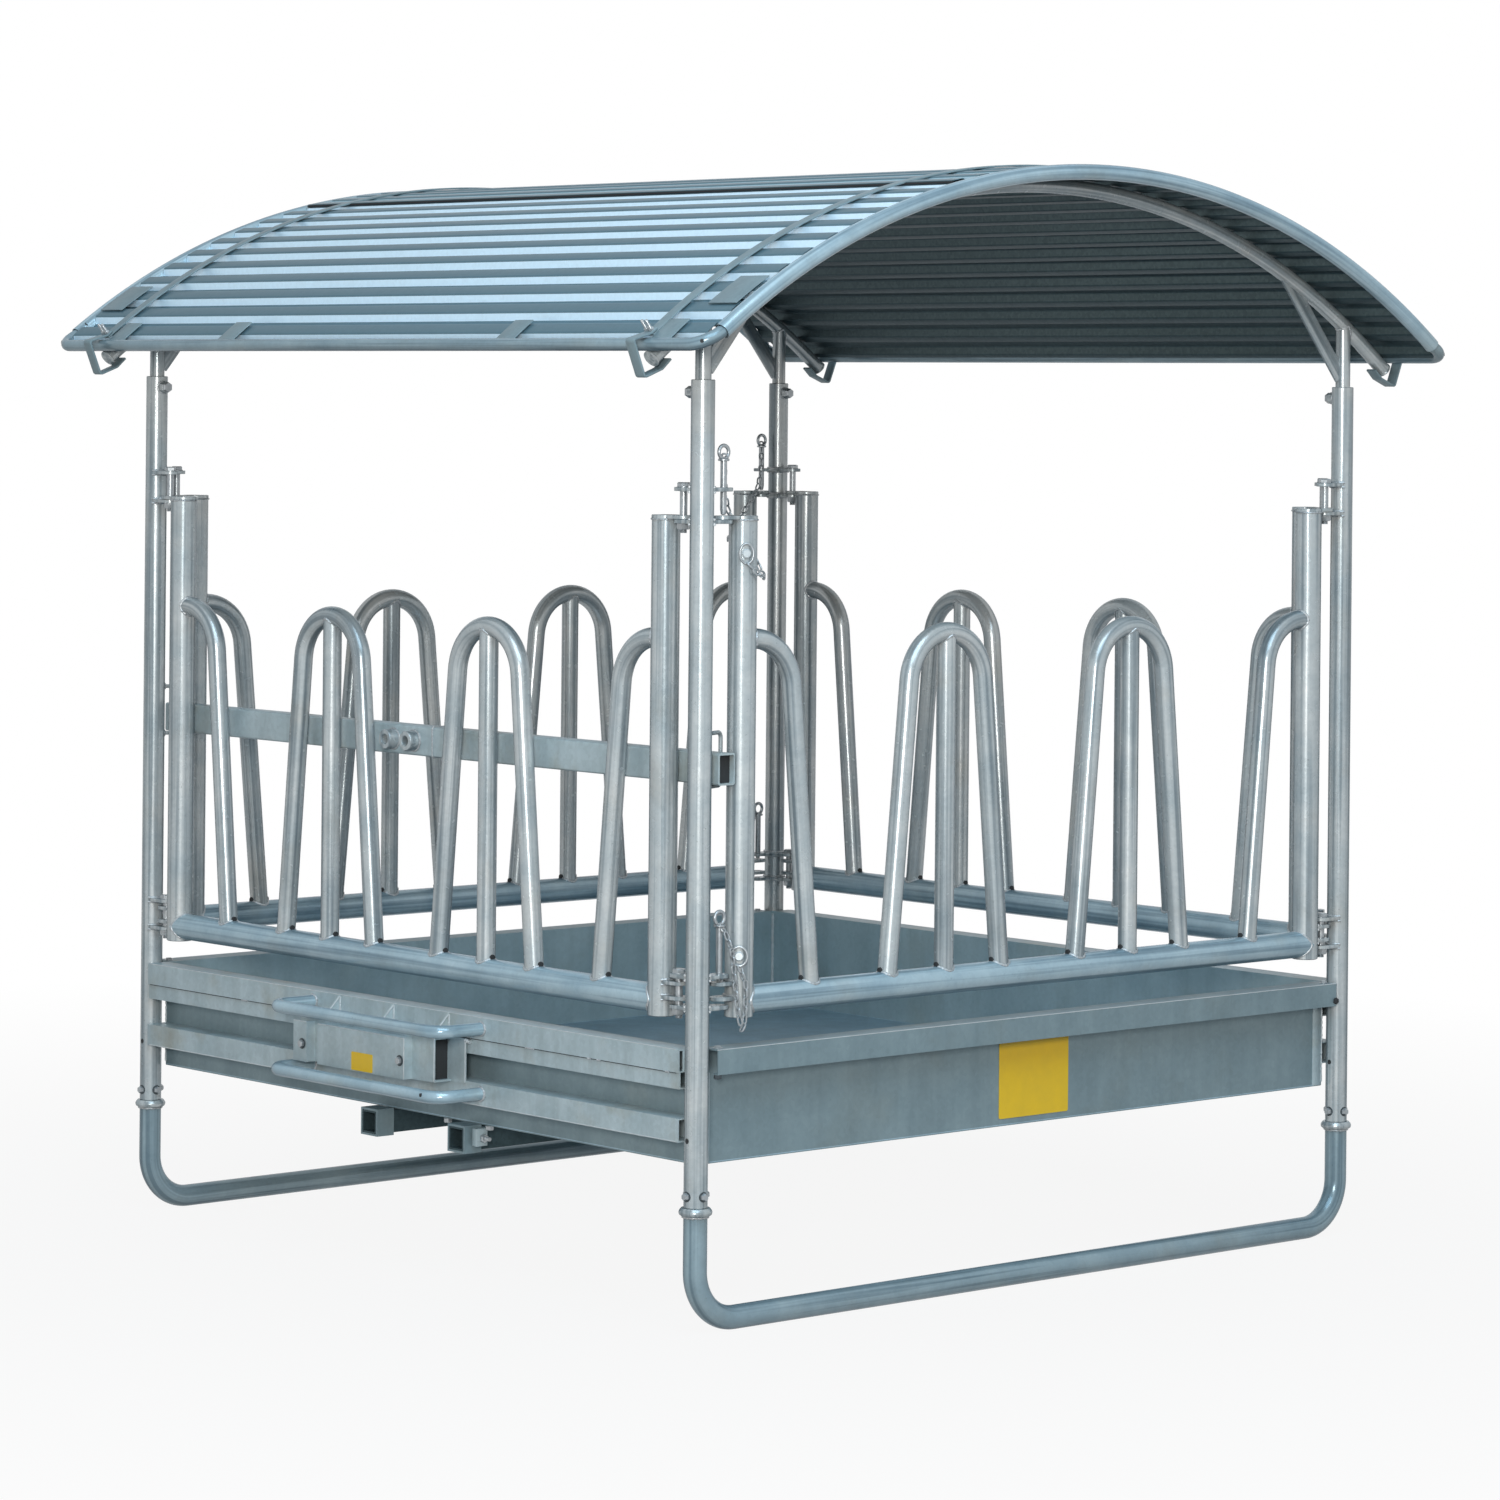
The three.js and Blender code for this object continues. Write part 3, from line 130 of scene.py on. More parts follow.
RIB_DEPTH = 18
SHEET = 1.5
LAP_LIFT = 2.1
CREST_RADIUS = VALLEY_RADIUS + RIB_DEPTH + SHEET + LAP_LIFT
RIBS = 16
LAP_RIB = -6
LAP_RISE = 4
LAP_FADE = 60
CLIP_ANGLE = math.radians(32.6)
PITCH = (EAVE_ANGLE - EAVE_REACH / VALLEY_RADIUS) / RIBS
SHEET_HALF_WIDTH = END_ARCH_Y - ROOF_TUBE - 0.3
STRAP = (28, 4)
STRAP_END = EAVE_ANGLE - (EAVE_REACH + STRAP[1]) / EAVE_RADIUS
HOOK_THICKNESS = 5
CLIP_PLACES = (-925, -490, 520, 1025)
CLIP_WIDTH = 60
LIFTED_TIPS = {"top": 1682.5, "low": 722.5}
PIN_RADIUS = 7
PIN_REACH = 111

# Small fittings that the solids leave out, in millimetres
THREAD_PITCH = 2.0
PATCH_LIFT = 0.25
HINGE_HOLE = 8.2
HINGE_SHANK = 8
HINGE_FLATS = 24
HINGE_HEAD = 10
HINGE_NUT = 13
HINGE_THREAD = (7.6, 8)
HINGE_THREAD_END = 20
HINGE_WASHER = (14.5, 1.6)
SET_NUT = (20, 38)
SET_NUT_RADIUS = 14
SET_BOLT_FLATS = 22
FOOT_BOLT_Z = 286
FOOT_BOLT = (14, 9)
FOOT_STAIN = 11
DRAIN_RADIUS = 5.5
EAR_WELD = 2.6
COLLAR_WELD = 26.2
COLLAR_PROFILE = ((25.2, -1.5), (30, 0.5), (33.5, 3), (35, 6.5), (35, 9.5), (33.5, 13), (30, COLLAR_HEIGHT))
RIM_BOLT_PLACES = ((-928, -985), (928, -985))
RIM_BOLT = (13, 5)
RIM_WASHER = (11, 1.2)
LIP_HALF = 948
RAIL_HALF = 946
RAIL_SEAM_Z = 536.4
RAIL_EDGES = (TROUGH_TOP - 0.3, 395.6)
SEAM_WELDS = (-920, -700, -470, 566)
TONGUE = (28, 4, 44)
TONGUE_Z = 539
BUMPER_WELD = 14.5
COVER_BOLTS = (244, -112)
COVER_BOLT_Z = 478
COVER_BOLT = (15, 7)
COVER_TOP = 527
COVER_ENDS = (-125, 277)
CATCH_ENDS = (187, 230)
BOX_HOLLOWS = (-191, 270)
BOX_BOTTOM = 440
FLANGE_END = -202
GUSSETS = (-189, 8, 205)
BUMPER_FOOT_WELDS = ((-258, 528, 1), (-262, 541, 2), (-252, 415, 3), (-260, 404, 4))
FORK_BOLT = (17, 9)
FORK_BOLTS = (-122, -268)
BUTT_WELD_Y = -46.0
VENT = (6.2, 5.6)
CAP_WELD = 30.6
PULL_RING = (13, 13.5)
PULL_RING_WIRE = 4
PIN_COLLAR = (12, 5)
PIN_PROFILE = ((3, 0), (5.4, 1.5), (PIN_RADIUS, 12), (PIN_RADIUS, PIN_REACH + 4), (6, PIN_REACH + 5))
CHAIN_EYES = ((1603, math.radians(28), 29, 42), (773, math.radians(42), 34, 40))
END_CAP = (19, 4)
GUIDE_FOOT = (21.6, 30)
BRACE = (38, 6)
BRACE_HEAD_X = 782
BRACE_FOOT = (10, 1985)
CLIP_LENGTH = 74
ROOF_PLATE = (105, 88, 2.2)
HOOK_WIDTH = 28
HOOK_BEND = 6
HOOK_ROD = (3.6, 26)
HOOK_NUT = (11, 6)
FRONT_PLATE = (212, 168)
FRONT_PLATE_PLACE = (18, -TROUGH_HALF, 443)
COVER_PLATE = (76, 40)
COVER_PLATE_PLACE = (COVER_FRONT, 23, 460)
EYE_PROFILE = ((10.8, 24), (10.8, -2), (22, -2), (22, 24), (20.5, 26), (12, 26))

PANELS = (
    ("front_gate", "front_gate", 0, -POST_HALF, 0),
    ("right_panel", "base", POST_HALF, 0, 90),
    ("back_gate", "back_gate", 0, POST_HALF, 180),
    ("left_panel", "base", -POST_HALF, 0, 270),
)
POSTS = (
    ("near", -POST_HALF, -POST_HALF, 0, True, STAPLE_REACH),
    ("right", POST_HALF, -POST_HALF, 90, False, None),
    ("far", POST_HALF, POST_HALF, 180, True, None),
    ("left", -POST_HALF, POST_HALF, 270, False, STAPLE_REACH[::-1]),
)


# Shapes: arrays of points in millimetres with faces that index them


def unit(vectors):
    """Vectors divided by their lengths."""
    vectors = np.asarray(vectors, float)
    return vectors / np.linalg.norm(vectors, axis=-1, keepdims=True)


class Shape:
    """Points in millimetres, faces, the finish of all its faces, and the grain: where each point lies on the
    straightened bar, so that drawing marks and bands of painted reflection follow the bends."""

    def __init__(self, points, faces, finish="tube", grain=None):
        self.points = np.asarray(points, float)
        self.faces = faces
        self.finish = finish
        self.grain = self.points if grain is None else np.asarray(grain, float)

    def moved(self, x=0.0, y=0.0, z=0.0, turn=0.0):
        """Turned about the vertical by turn degrees, then moved by x, y and z."""
        c, s = math.cos(math.radians(turn)), math.sin(math.radians(turn))
        spin = np.array([[c, -s, 0], [s, c, 0], [0, 0, 1]])
        points = self.points @ spin.T + np.array([x, y, z])
        return Shape(points, self.faces, self.finish, self.grain)


def angles(count):
    """Equal steps of a whole turn."""
    return np.arange(count) * 2 * np.pi / count


def circle(radius, sides):
    """Points radius * (cos t, sin t) at equal steps of t."""
    t = angles(sides)
    return radius * np.stack([np.cos(t), np.sin(t)], axis=1)


def oval(centre, half_width, half_height, count, across_axis, up_axis):
    """Points centre + half_width * cos t along one axis + half_height * sin t along the other."""
    t = angles(count)[:, None]
    flat = half_width * np.cos(t) * across_axis + half_height * np.sin(t) * up_axis
    return np.asarray(centre, float) + flat


def rounded_rectangle(width, height, radius, steps):
    """Four quarter circles about the inner corners, counterclockwise."""
    t = np.linspace(0, np.pi / 2, steps)
    turn = np.arange(4)[:, None] * np.pi / 2 + t[None, :]
    half = np.array([width / 2 - radius, height / 2 - radius])
    signs = np.array([[1, 1], [-1, 1], [-1, -1], [1, -1]])
    corner = (signs * half)[:, None, :]
    round_part = radius * np.stack([np.cos(turn), np.sin(turn)], axis=2)
    return (corner + round_part).reshape(-1, 2)


def skin(rings, closed=False, finish="tube", grain=None):
    """Quads between neighbouring rings of an array (rings, points, 3), each ring counterclockwise
    seen from the ring after it; end rings become caps."""
    count, sides = rings.shape[:2]
    i = np.arange(count if closed else count - 1)[:, None]
    j = np.arange(sides)[None, :]
    here, there = i * sides, ((i + 1) % count) * sides
    ahead = (j + 1) % sides
    quads = np.stack([here + j, here + ahead, there + ahead, there + j], axis=-1).reshape(-1, 4)
    faces = quads.tolist()
    if not closed:
        faces.append(list(range(sides))[::-1])
        faces.append(list(range((count - 1) * sides, count * sides)))
    return Shape(rings.reshape(-1, 3), faces, finish, grain)


def carried(section, points, tangents, up, closed=False, scale=None, finish="tube"):
    """Section carried along a path: each ring is the path's point plus section x times the side
    direction and section y times the up direction, where side is up cross tangent. Its grain is
    section x, section y and the length run so far."""
    points = np.asarray(points, float)
    tangents = unit(tangents)
    up = np.broadcast_to(np.asarray(up, float), points.shape)
    side = unit(np.cross(up, tangents))
    rise = unit(np.cross(tangents, side))
    size = np.ones(len(points)) if scale is None else np.asarray(scale, float)
    flat = section[None, :, :] * size[:, None, None]
    rings = (
        points[:, None, :]
        + flat[:, :, :1] * side[:, None, :]
        + flat[:, :, 1:] * rise[:, None, :]
    )
    run = np.concatenate([[0], np.cumsum(np.linalg.norm(np.diff(points, axis=0), axis=1))])
    lengths = np.broadcast_to(run[:, None, None], (*flat.shape[:2], 1))
    grain = np.concatenate([flat, lengths], axis=2).reshape(-1, 3)
    return skin(rings, closed, finish=finish, grain=grain)


def across(direction):
    """A direction at right angles to the one given."""
    direction = unit(direction)
    helper = Z_AXIS if abs(direction[2]) < 0.9 else X_AXIS
    return unit(np.cross(direction, helper))


def bar(start, end, radius, sides, finish="tube"):
    """Round bar between two points."""
    start, end = np.asarray(start, float), np.asarray(end, float)
    run = end - start
    return carried(circle(radius, sides), [start, end], [run, run], across(run), finish=finish)


def turned(profile, base, axis=Z_AXIS, sides=40, finish="tube"):
    """Profile of (radius, height) pairs turned about an axis through base; both ends are capped."""
    profile = np.asarray(profile, float)
    axis = unit(axis)
    points = np.asarray(base, float) + profile[:, 1:] * axis
    tangents = np.broadcast_to(axis, points.shape)
    return carried(circle(1, sides), points, tangents, across(axis), scale=profile[:, 0], finish=finish)


def drum(base, axis, radius, height, chamfer, sides, finish="tube"):
    """Disc or hexagon with both rims chamfered."""
    profile = [
        (radius - chamfer, 0),
        (radius, chamfer),
        (radius, height - chamfer),
        (radius - chamfer, height),
    ]
    return turned(profile, base, axis, sides, finish)


def rounded_path(corners, bend, steps):
    """Path through corner points: an arc of the bend radius starts bend * tan(turn / 2) before each
    inner corner. Returns points and tangents."""
    corners = np.asarray(corners, float)
    legs = unit(np.diff(corners, axis=0))
    points, tangents = [corners[:1]], [legs[:1]]
    for i in range(1, len(corners) - 1):
        into, out = legs[i - 1], legs[i]
        turn = math.acos(float(np.clip(into @ out, -1, 1)))
        axis = unit(np.cross(into, out))
        inward = np.cross(axis, into)
        start = corners[i] - into * bend * math.tan(turn / 2)
        t = np.linspace(0, turn, steps)[:, None]
        points.append(start + bend * (np.sin(t) * into + (1 - np.cos(t)) * inward))
        tangents.append(np.cos(t) * into + np.sin(t) * inward)
    points.append(corners[-1:])
    tangents.append(legs[-1:])
    return np.concatenate(points), np.concatenate(tangents)


def bent_bar(corners, bend, radius, up, sides, steps=14, finish="tube"):
    """Round bar through corner points in one plane, whose normal is up."""
    points, tangents = rounded_path(corners, bend, steps)
    return carried(circle(radius, sides), points, tangents, up, finish=finish)


def wire_loop(loop, wire, sides, up):
    """Round wire along a closed loop of points."""
    step = np.roll(loop, -1, axis=0) - np.roll(loop, 1, axis=0)
    return carried(circle(wire, sides), loop, step, up, True, finish="zinc")


def plate(outline, low, high, origin, across_axis, up_axis, finish):
    """Outline, counterclockwise in the two axes given, extruded along their cross product."""
    outline = np.asarray(outline, float)
    out = np.cross(across_axis, up_axis)
    flat = np.asarray(origin, float) + outline[:, :1] * across_axis + outline[:, 1:] * up_axis
    rings = np.stack([flat + low * out, flat + high * out])
    return skin(rings, finish=finish)


def block(low, high, finish):
    """Box with its edges rounded in plan."""
    low, high = np.asarray(low, float), np.asarray(high, float)
    size, middle = high - low, (low + high) / 2
    radius = min(1.0, size[0] / 4, size[1] / 4)
    outline = rounded_rectangle(size[0], size[1], radius, 3)
    return plate(outline, -size[2] / 2, size[2] / 2, middle, X_AXIS, Y_AXIS, finish)


def holed_ear(root, pin, z, hole):
    """Ear towards +X with a round end about the pin: between an outer loop, where a ray from the pin
    meets the half circle or the straight sides, and the circle of the hole."""
    t = angles(40)
    c, s = np.cos(t), np.sin(t)
    sides = EAR_HALF / np.maximum(np.abs(s), 1e-6)
    back = (pin - root) / np.maximum(-c, 1e-6)
    reach = np.where(c >= -1e-6, EAR_HALF, np.minimum(sides, np.where(c < 0, back, 1e9)))
    outer = np.stack([pin + reach * c, reach * s], axis=1)
    inner = np.stack([pin + hole * c, hole * s], axis=1)
    pulled = outer - EAR_CHAMFER * unit(outer - np.array([pin, 0.0]))
    face = EAR_THICKNESS / 2
    side = face - EAR_CHAMFER
    loops = [(inner, -face), (pulled, -face), (outer, -side), (outer, side), (pulled, face), (inner, face)]
    rings = [np.column_stack([flat, np.full(len(flat), z + level)]) for flat, level in loops]
    return skin(np.stack(rings), closed=True)


def bead(points, radius, closed=True, seed=0, finish="weld"):
    """Weld bead along a curve: a round section whose radius ripples with the number of the ring."""
    points = np.asarray(points, float)
    ahead, behind = np.roll(points, -1, axis=0), np.roll(points, 1, axis=0)
    if not closed:
        ahead[-1], behind[0] = points[-1], points[0]
    rng = np.random.default_rng(seed)
    ripple = 1 + 0.16 * np.sin(np.arange(len(points)) * 2.1) + 0.1 * rng.standard_normal(len(points))
    up = unit(points - points.mean(axis=0) + 1e-6)
    return carried(circle(radius, 8), points, ahead - behind, up, closed, ripple.clip(0.6, 1.4), finish)


def weld_line(start, end, steps, radius, seed):
    """Straight weld bead between two points."""
    return bead(np.linspace(start, end, steps), radius, False, seed, "edge")


def edge_highlight(start, end, radius):
    """Painted highlight along the edge of a folded sheet."""
    return bar(start, end, radius, 8, "edge")


def saddle(foot, direction, radius, centre, axis, other_radius):
    """Curve where a round bar leaves another: points of the bar's surface at the distance
    other_radius from the other bar's axis, from the larger root of the quadratic."""
    direction, axis = unit(direction), unit(axis)
    side = across(direction)
    rise = np.cross(direction, side)
    t = angles(44)[:, None]
    start = np.asarray(foot, float) + radius * (np.cos(t) * side + np.sin(t) * rise)
    offset = start - np.asarray(centre, float)
    offset = offset - (offset @ axis)[:, None] * axis
    run = direction - (direction @ axis) * axis
    a = run @ run
    b = 2 * offset @ run
    c = (offset**2).sum(axis=1) - other_radius**2
    root = (-b + np.sqrt(np.maximum(b**2 - 4 * a * c, 0))) / (2 * a)
    return start + root[:, None] * direction


def hex_bolt(base, axis, across_flats, height, finish="zinc"):
    """Hexagon head with a chamfered top."""
    radius = across_flats / math.sqrt(3)
    profile = [(radius, 0), (radius, height * 0.8), (radius * 0.86, height)]
    return turned(profile, base, axis, 6, finish)


def threaded_rod(base, axis, radius, length):
    """Rod whose radius alternates between crest and root at each half pitch."""
    count = int(length / THREAD_PITCH * 2)
    heights = np.linspace(0, length, count)
    radii = np.where(np.arange(count) % 2 == 0, radius, radius * 0.86)
    return turned(np.stack([radii, heights], axis=1), base, axis, 12, "zinc")


def post_patch(angle, z, radius, finish="dark"):
    """Round spot that follows the surface of a corner post, made of rings that shrink to its middle."""
    t = angles(20)
    wall = POST_RADIUS + PATCH_LIFT
    rings = []
    for share in (0.999, 0.5, 0.02):
        bend = angle + share * radius * np.cos(t) / POST_RADIUS
        level = z + share * radius * np.sin(t)
        rings.append(np.stack([wall * np.cos(bend), wall * np.sin(bend), level], axis=1))
    return skin(np.stack(rings), finish=finish)


def filleted(points, reach):
    """Polyline with each inner corner replaced by three points of the curve between the points that
    lie a reach before and after it."""
    before = unit(points[:-2] - points[1:-1])
    after = unit(points[2:] - points[1:-1])
    corner = points[1:-1]
    start, end = corner + reach * before, corner + reach * after
    middle = start / 4 + corner / 2 + end / 4
    inner = np.stack([start, middle, end], axis=1).reshape(-1, 2)
    return np.concatenate([points[:1], inner, points[-1:]])


def chain(points, link, wire):
    """Links along a polyline: each is a stadium of round wire, and every second one is turned by a
    quarter about the chain's run."""
    points = np.asarray(points, float)
    lengths = np.concatenate([[0], np.cumsum(np.linalg.norm(np.diff(points, axis=0), axis=1))])
    pitch = link[0] - 2 * wire
    places = np.arange(pitch / 2, lengths[-1], pitch)
    centre, ahead, behind = (
        np.stack([np.interp(places + shift, lengths, points[:, k]) for k in range(3)], axis=1)
        for shift in (0, 1, -1)
    )
    half_run, half_width = link[0] / 2 - wire, link[1] / 2 - wire
    t = angles(20)
    straight = np.sign(np.sin(t)) * (half_run - half_width)
    stadium = np.stack([half_width * np.cos(t), straight + half_width * np.sin(t)], axis=1)
    shapes = []
    for i, place in enumerate(centre):
        along = unit(ahead[i] - behind[i])
        side = across(along)
        if i % 2:
            side = np.cross(along, side)
        loop = place + stadium[:, :1] * side + stadium[:, 1:] * along
        shapes.append(wire_loop(loop, wire, 8, np.cross(side, along)))
    return shapes


# Finishes


def add_node(tree, kind, values=None, **settings):
    """Shader node with its settings, and its input values by name or number."""
    made = tree.nodes.new(kind)
    for key, value in settings.items():
        setattr(made, key, value)
    for key, value in (values or {}).items():
        made.inputs[key].default_value = value
    return made


def calculated(tree, operation, *sources):
    """Result of a Math node fed by sockets or plain numbers."""
    made = add_node(tree, "ShaderNodeMath", operation=operation)
    for socket, source in zip(made.inputs, sources):
        if isinstance(source, bpy.types.NodeSocket):
            tree.links.new(source, socket)
        else:
            socket.default_value = source
    return made.outputs[0]


def new_material(name):
    """Node material with its tree and shader."""
    material = bpy.data.materials.new(name)
    material.use_nodes = True
    tree = material.node_tree
    return material, tree, tree.nodes["Principled BSDF"]


def ramp(tree, source, stops):
    """Colour ramp fed by a socket, with stops of (position, colour)."""
    made = add_node(tree, "ShaderNodeValToRGB")
    elements = made.color_ramp.elements
    while len(elements) < len(stops):
        elements.new(0.5)
    for element, (position, colour) in zip(elements, stops):
        element.position = position
        element.color = (*colour, 1)
    tree.links.new(source, made.inputs["Fac"])
    return made.outputs["Color"]


def grey(value):
    return (value, value, value)


def multiplied(tree, first, second, amount=1.0):
    """Product of two colours, mixed in by an amount."""
    if not amount:
        return first
    made = add_node(tree, "ShaderNodeMix", {"Factor": amount}, data_type="RGBA", blend_type="MULTIPLY")
    tree.links.new(first, made.inputs["A"])
    tree.links.new(second, made.inputs["B"])
    return made.outputs["Result"]


def texture_noise(tree, where, scale, detail, stretch=None):
    """Noise on a vector, stretched by a mapping where given."""
    if stretch is not None:
        mapping = add_node(tree, "ShaderNodeMapping", {"Scale": stretch})
        tree.links.new(where, mapping.inputs["Vector"])
        where = mapping.outputs["Vector"]
    values = {"Scale": scale, "Detail": detail, "Roughness": 0.55}
    made = add_node(tree, "ShaderNodeTexNoise", values)
    tree.links.new(where, made.inputs["Vector"])
    return made.outputs["Fac"]


def varied_roughness(tree, shader, source, low, high):
    """Roughness between two values after a socket."""
    rough = add_node(tree, "ShaderNodeMapRange", {"To Min": low, "To Max": high})
    tree.links.new(source, rough.inputs["Value"])
    tree.links.new(rough.outputs["Result"], shader.inputs["Roughness"])


def clouded(tree, cloud, shade, light):
    """Dull and bright patches after a cloudy noise."""
    return ramp(tree, cloud, [(0.3, shade), (0.68, light)])


def painted_light_inside(tree, where, cloud, base, shade, light, inside):
    """Base colour outside; brighter by a gain where both X and Y lie nearer the middle than a limit, as
    painted light against the roof's shade; a colour of its own at one level of Z, the tray's floor, as a
    painted sky reflection."""
    limit, gain, level, ground = inside
    split = add_node(tree, "ShaderNodeSeparateXYZ")
    tree.links.new(where, split.inputs["Vector"])
    reach = calculated(tree, "MAXIMUM", *(calculated(tree, "ABSOLUTE", split.outputs[axis]) for axis in "XY"))
    near = calculated(tree, "LESS_THAN", reach, limit)
    flat = calculated(tree, "COMPARE", split.outputs["Z"], level, 0.8 * MM)
    bright = [tuple(min(1, c * gain) for c in colour) for colour in (shade, light)]
    below = [tuple(c * share for c in ground) for share in (0.84, 1)]
    for share, pair in ((near, bright), (flat, below)):
        mix = add_node(tree, "ShaderNodeMix", data_type="RGBA")
        tree.links.new(share, mix.inputs["Factor"])
        tree.links.new(base, mix.inputs["A"])
        tree.links.new(clouded(tree, cloud, *pair), mix.inputs["B"])
        base = mix.outputs["Result"]
    return base


def streaks(tree, where, drawn):
    """Marks that run along the grain of drawn tube, drawing marks with dark bluish bands of painted
    reflection, or down a sheet.
    """
    if drawn:
        flow = add_node(tree, "ShaderNodeAttribute", attribute_name="grain").outputs["Vector"]
        # Dark bands along the tube: drawing marks and painted reflection
        runs = texture_noise(tree, flow, 75.0, 2.0, (1.0, 1.0, 0.014))
        return ramp(tree, runs, [(0.36, (0.36, 0.42, 0.46)), (0.54, grey(1.0))])
    runs = texture_noise(tree, where, 26.0, 3.0, (1.0, 1.0, 0.06))
    return ramp(tree, runs, [(0.38, grey(0.66)), (0.6, grey(1.0))])


def galvanised(
    name, light, shade, spangle, metallic, roughness, contrast, pits, streak, bump, rust=0.0, drawn=False,
    inside=None
):
    """Zinc coat: cloudy patches, times crystals from a cell pattern, streaks, brown stains and dark
    pits, each by its own amount."""
    material, tree, shader = new_material(name)
    where = add_node(tree, "ShaderNodeTexCoord").outputs["Object"]
    cells = add_node(tree, "ShaderNodeTexVoronoi", {"Scale": 1 / spangle, "Randomness": 1.0})
    tree.links.new(where, cells.inputs["Vector"])
    crystal = add_node(tree, "ShaderNodeSeparateColor")
    tree.links.new(cells.outputs["Color"], crystal.inputs["Color"])
    cloud = texture_noise(tree, where, 9.0, 4.0)
    colour = clouded(tree, cloud, shade, light)
    # Painted light inside the tray: brighter walls, and a floor colour that is a painted sky reflection
    if inside:
        colour = painted_light_inside(tree, where, cloud, colour, shade, light, inside)
    facets = ramp(tree, crystal.outputs["Red"], [(0.0, grey(1 - contrast)), (1.0, grey(1.0))])
    stains = texture_noise(tree, where, 6.0, 5.0)
    brown = ramp(tree, stains, [(0.54, grey(1.0)), (0.74, (0.86, 0.68, 0.52))])
    specks = texture_noise(tree, where, 160.0, 2.0)
    dark = ramp(tree, specks, [(0.24, grey(0.35)), (0.3, grey(1.0))])
    marks = ((facets, 1.0), (streaks(tree, where, drawn), streak), (brown, rust), (dark, pits))
    for mark, amount in marks:
        colour = multiplied(tree, colour, mark, amount)
    tree.links.new(colour, shader.inputs["Base Color"])
    varied_roughness(tree, shader, crystal.outputs["Green"], roughness - 0.015, roughness + 0.025)
    relief = texture_noise(tree, where, 70.0, 3.0)
    dent = add_node(tree, "ShaderNodeBump", {"Strength": bump, "Distance": 1.2 * MM})
    tree.links.new(relief, dent.inputs["Height"])
    tree.links.new(dent.outputs["Normal"], shader.inputs["Normal"])
    shader.inputs["Metallic"].default_value = metallic
    shader.inputs["Specular IOR Level"].default_value = 0.16
    shader.inputs["Specular Tint"].default_value = (0.55, 0.6, 0.64, 1)
    return material


def plain_metal(name, colour, metallic, roughness, variation=0.25, scale=120.0):
    """Small part: one colour broken up by fine noise in brightness and roughness."""
    material, tree, shader = new_material(name)
    where = add_node(tree, "ShaderNodeTexCoord").outputs["Object"]
    grain = texture_noise(tree, where, scale, 3.0)
    darker = tuple(c * (1 - variation) for c in colour)
    tree.links.new(ramp(tree, grain, [(0.3, darker), (0.7, colour)]), shader.inputs["Base Color"])
    varied_roughness(tree, shader, grain, roughness - 0.08, roughness + 0.12)
    shader.inputs["Metallic"].default_value = metallic
    return material


# Zinc coats: material, settings of its bright and dull patches, size of its crystals as a share of
# the spangle, and the amounts of its marks

BENT_TUBE = dict(
    metallic=0.25, roughness=0.22, contrast=0.06, pits=0.3, streak=0.7, bump=0.06, rust=0.3, drawn=True
)
ROOF_TOP = dict(metallic=0.4, roughness=0.42, contrast=0.05, pits=0.0, streak=0.05, bump=0.04)
ROOF_BELOW = {**ROOF_TOP, "contrast": 0.2, "pits": 0.1}
COATS = {
    "tube": ("galvanised tube", "tube_light", "tube_shade", 1, dict(
        metallic=0.35, roughness=0.25, contrast=0.07, pits=0.5, streak=0.75, bump=0.08, rust=0.3,
        drawn=True)),
    # Darker copy of the tube finish for skids and eave tubes: painted shade
    "cool": ("cool tube", "cool_light", "cool_shade", 1, BENT_TUBE),
    # Lighter, bluer copy of the tube finish for panel rails, bumpers and end arches: painted sky reflection
    "level": ("level tube", "level_light", "level_shade", 1, BENT_TUBE),
    "sheet": ("galvanised sheet", "sheet_light", "sheet_shade", 1.3, dict(
        metallic=0.25, roughness=0.4, contrast=0.09, pits=0.25, streak=0.3, bump=0.12, rust=0.6)),
    "tray": ("galvanised tray", "tray_light", "tray_shade", 1.3, dict(
        metallic=0.3, roughness=0.42, contrast=0.07, pits=0.15, streak=0.2, bump=0.1, rust=0.25)),
    # Painted reflections on the roof: dark on crests and valleys, bright sky on the left sheet's flanks,
    # dimmer sky on the right sheet's flanks
    "crest": ("roof crest", "roof_crest", "roof_crest", 1, {**ROOF_TOP, "roughness": 0.34}),
    "flank": ("roof flank", "roof_flank", "roof_flank", 1, ROOF_TOP),
    "high flank": ("roof high flank", "roof_high", "roof_high", 1, ROOF_TOP),
    # Painted shade on the roof's underside
    "under": ("roof underside", "roof_under", "roof_under", 1, ROOF_BELOW),
    "inner flank": ("roof inner flank", "roof_inner", "roof_inner", 1, ROOF_BELOW),
}


def make_finishes():
    """Every finish by name, from the settings of colours. The tray's inside has its own gain of painted light
    and a floor colour that is a painted sky reflection.
    """
    look = bpy.context.scene.feeder_finishes
    made = {}
    for finish, (name, light, shade, share, amounts) in COATS.items():
        inside = None
        if finish == "tray":
            inside = (TRAY_INSIDE * MM, 1.5, TRAY_FLOOR * MM, tuple(look.tray_floor_painted_reflection))
        pair = tuple(getattr(look, light)), tuple(getattr(look, shade))
        made[finish] = galvanised(name, *pair, look.spangle * share, **amounts, inside=inside)
    made["zinc"] = plain_metal("zinc plated", tuple(look.zinc), 0.6, 0.3)
    made["weld"] = plain_metal("weld", tuple(look.weld), 0.4, 0.4, 0.45, 260.0)
    # Painted highlight for sheet edges, and the colour of fresh welds
    made["edge"] = plain_metal("bright edge", tuple(look.edge), 0.4, 0.35, 0.2, 60.0)
    made["dark"] = plain_metal("shadowed hole", (0.02, 0.022, 0.024), 0.0, 0.8)
    made["seam"] = plain_metal("sheet seam", (0.06, 0.075, 0.085), 0.2, 0.6)
    made["plate"] = plain_metal("yellow plate", tuple(look.plate), 0.0, 0.38, 0.06, 30.0)
    return made


FINISHES = {}


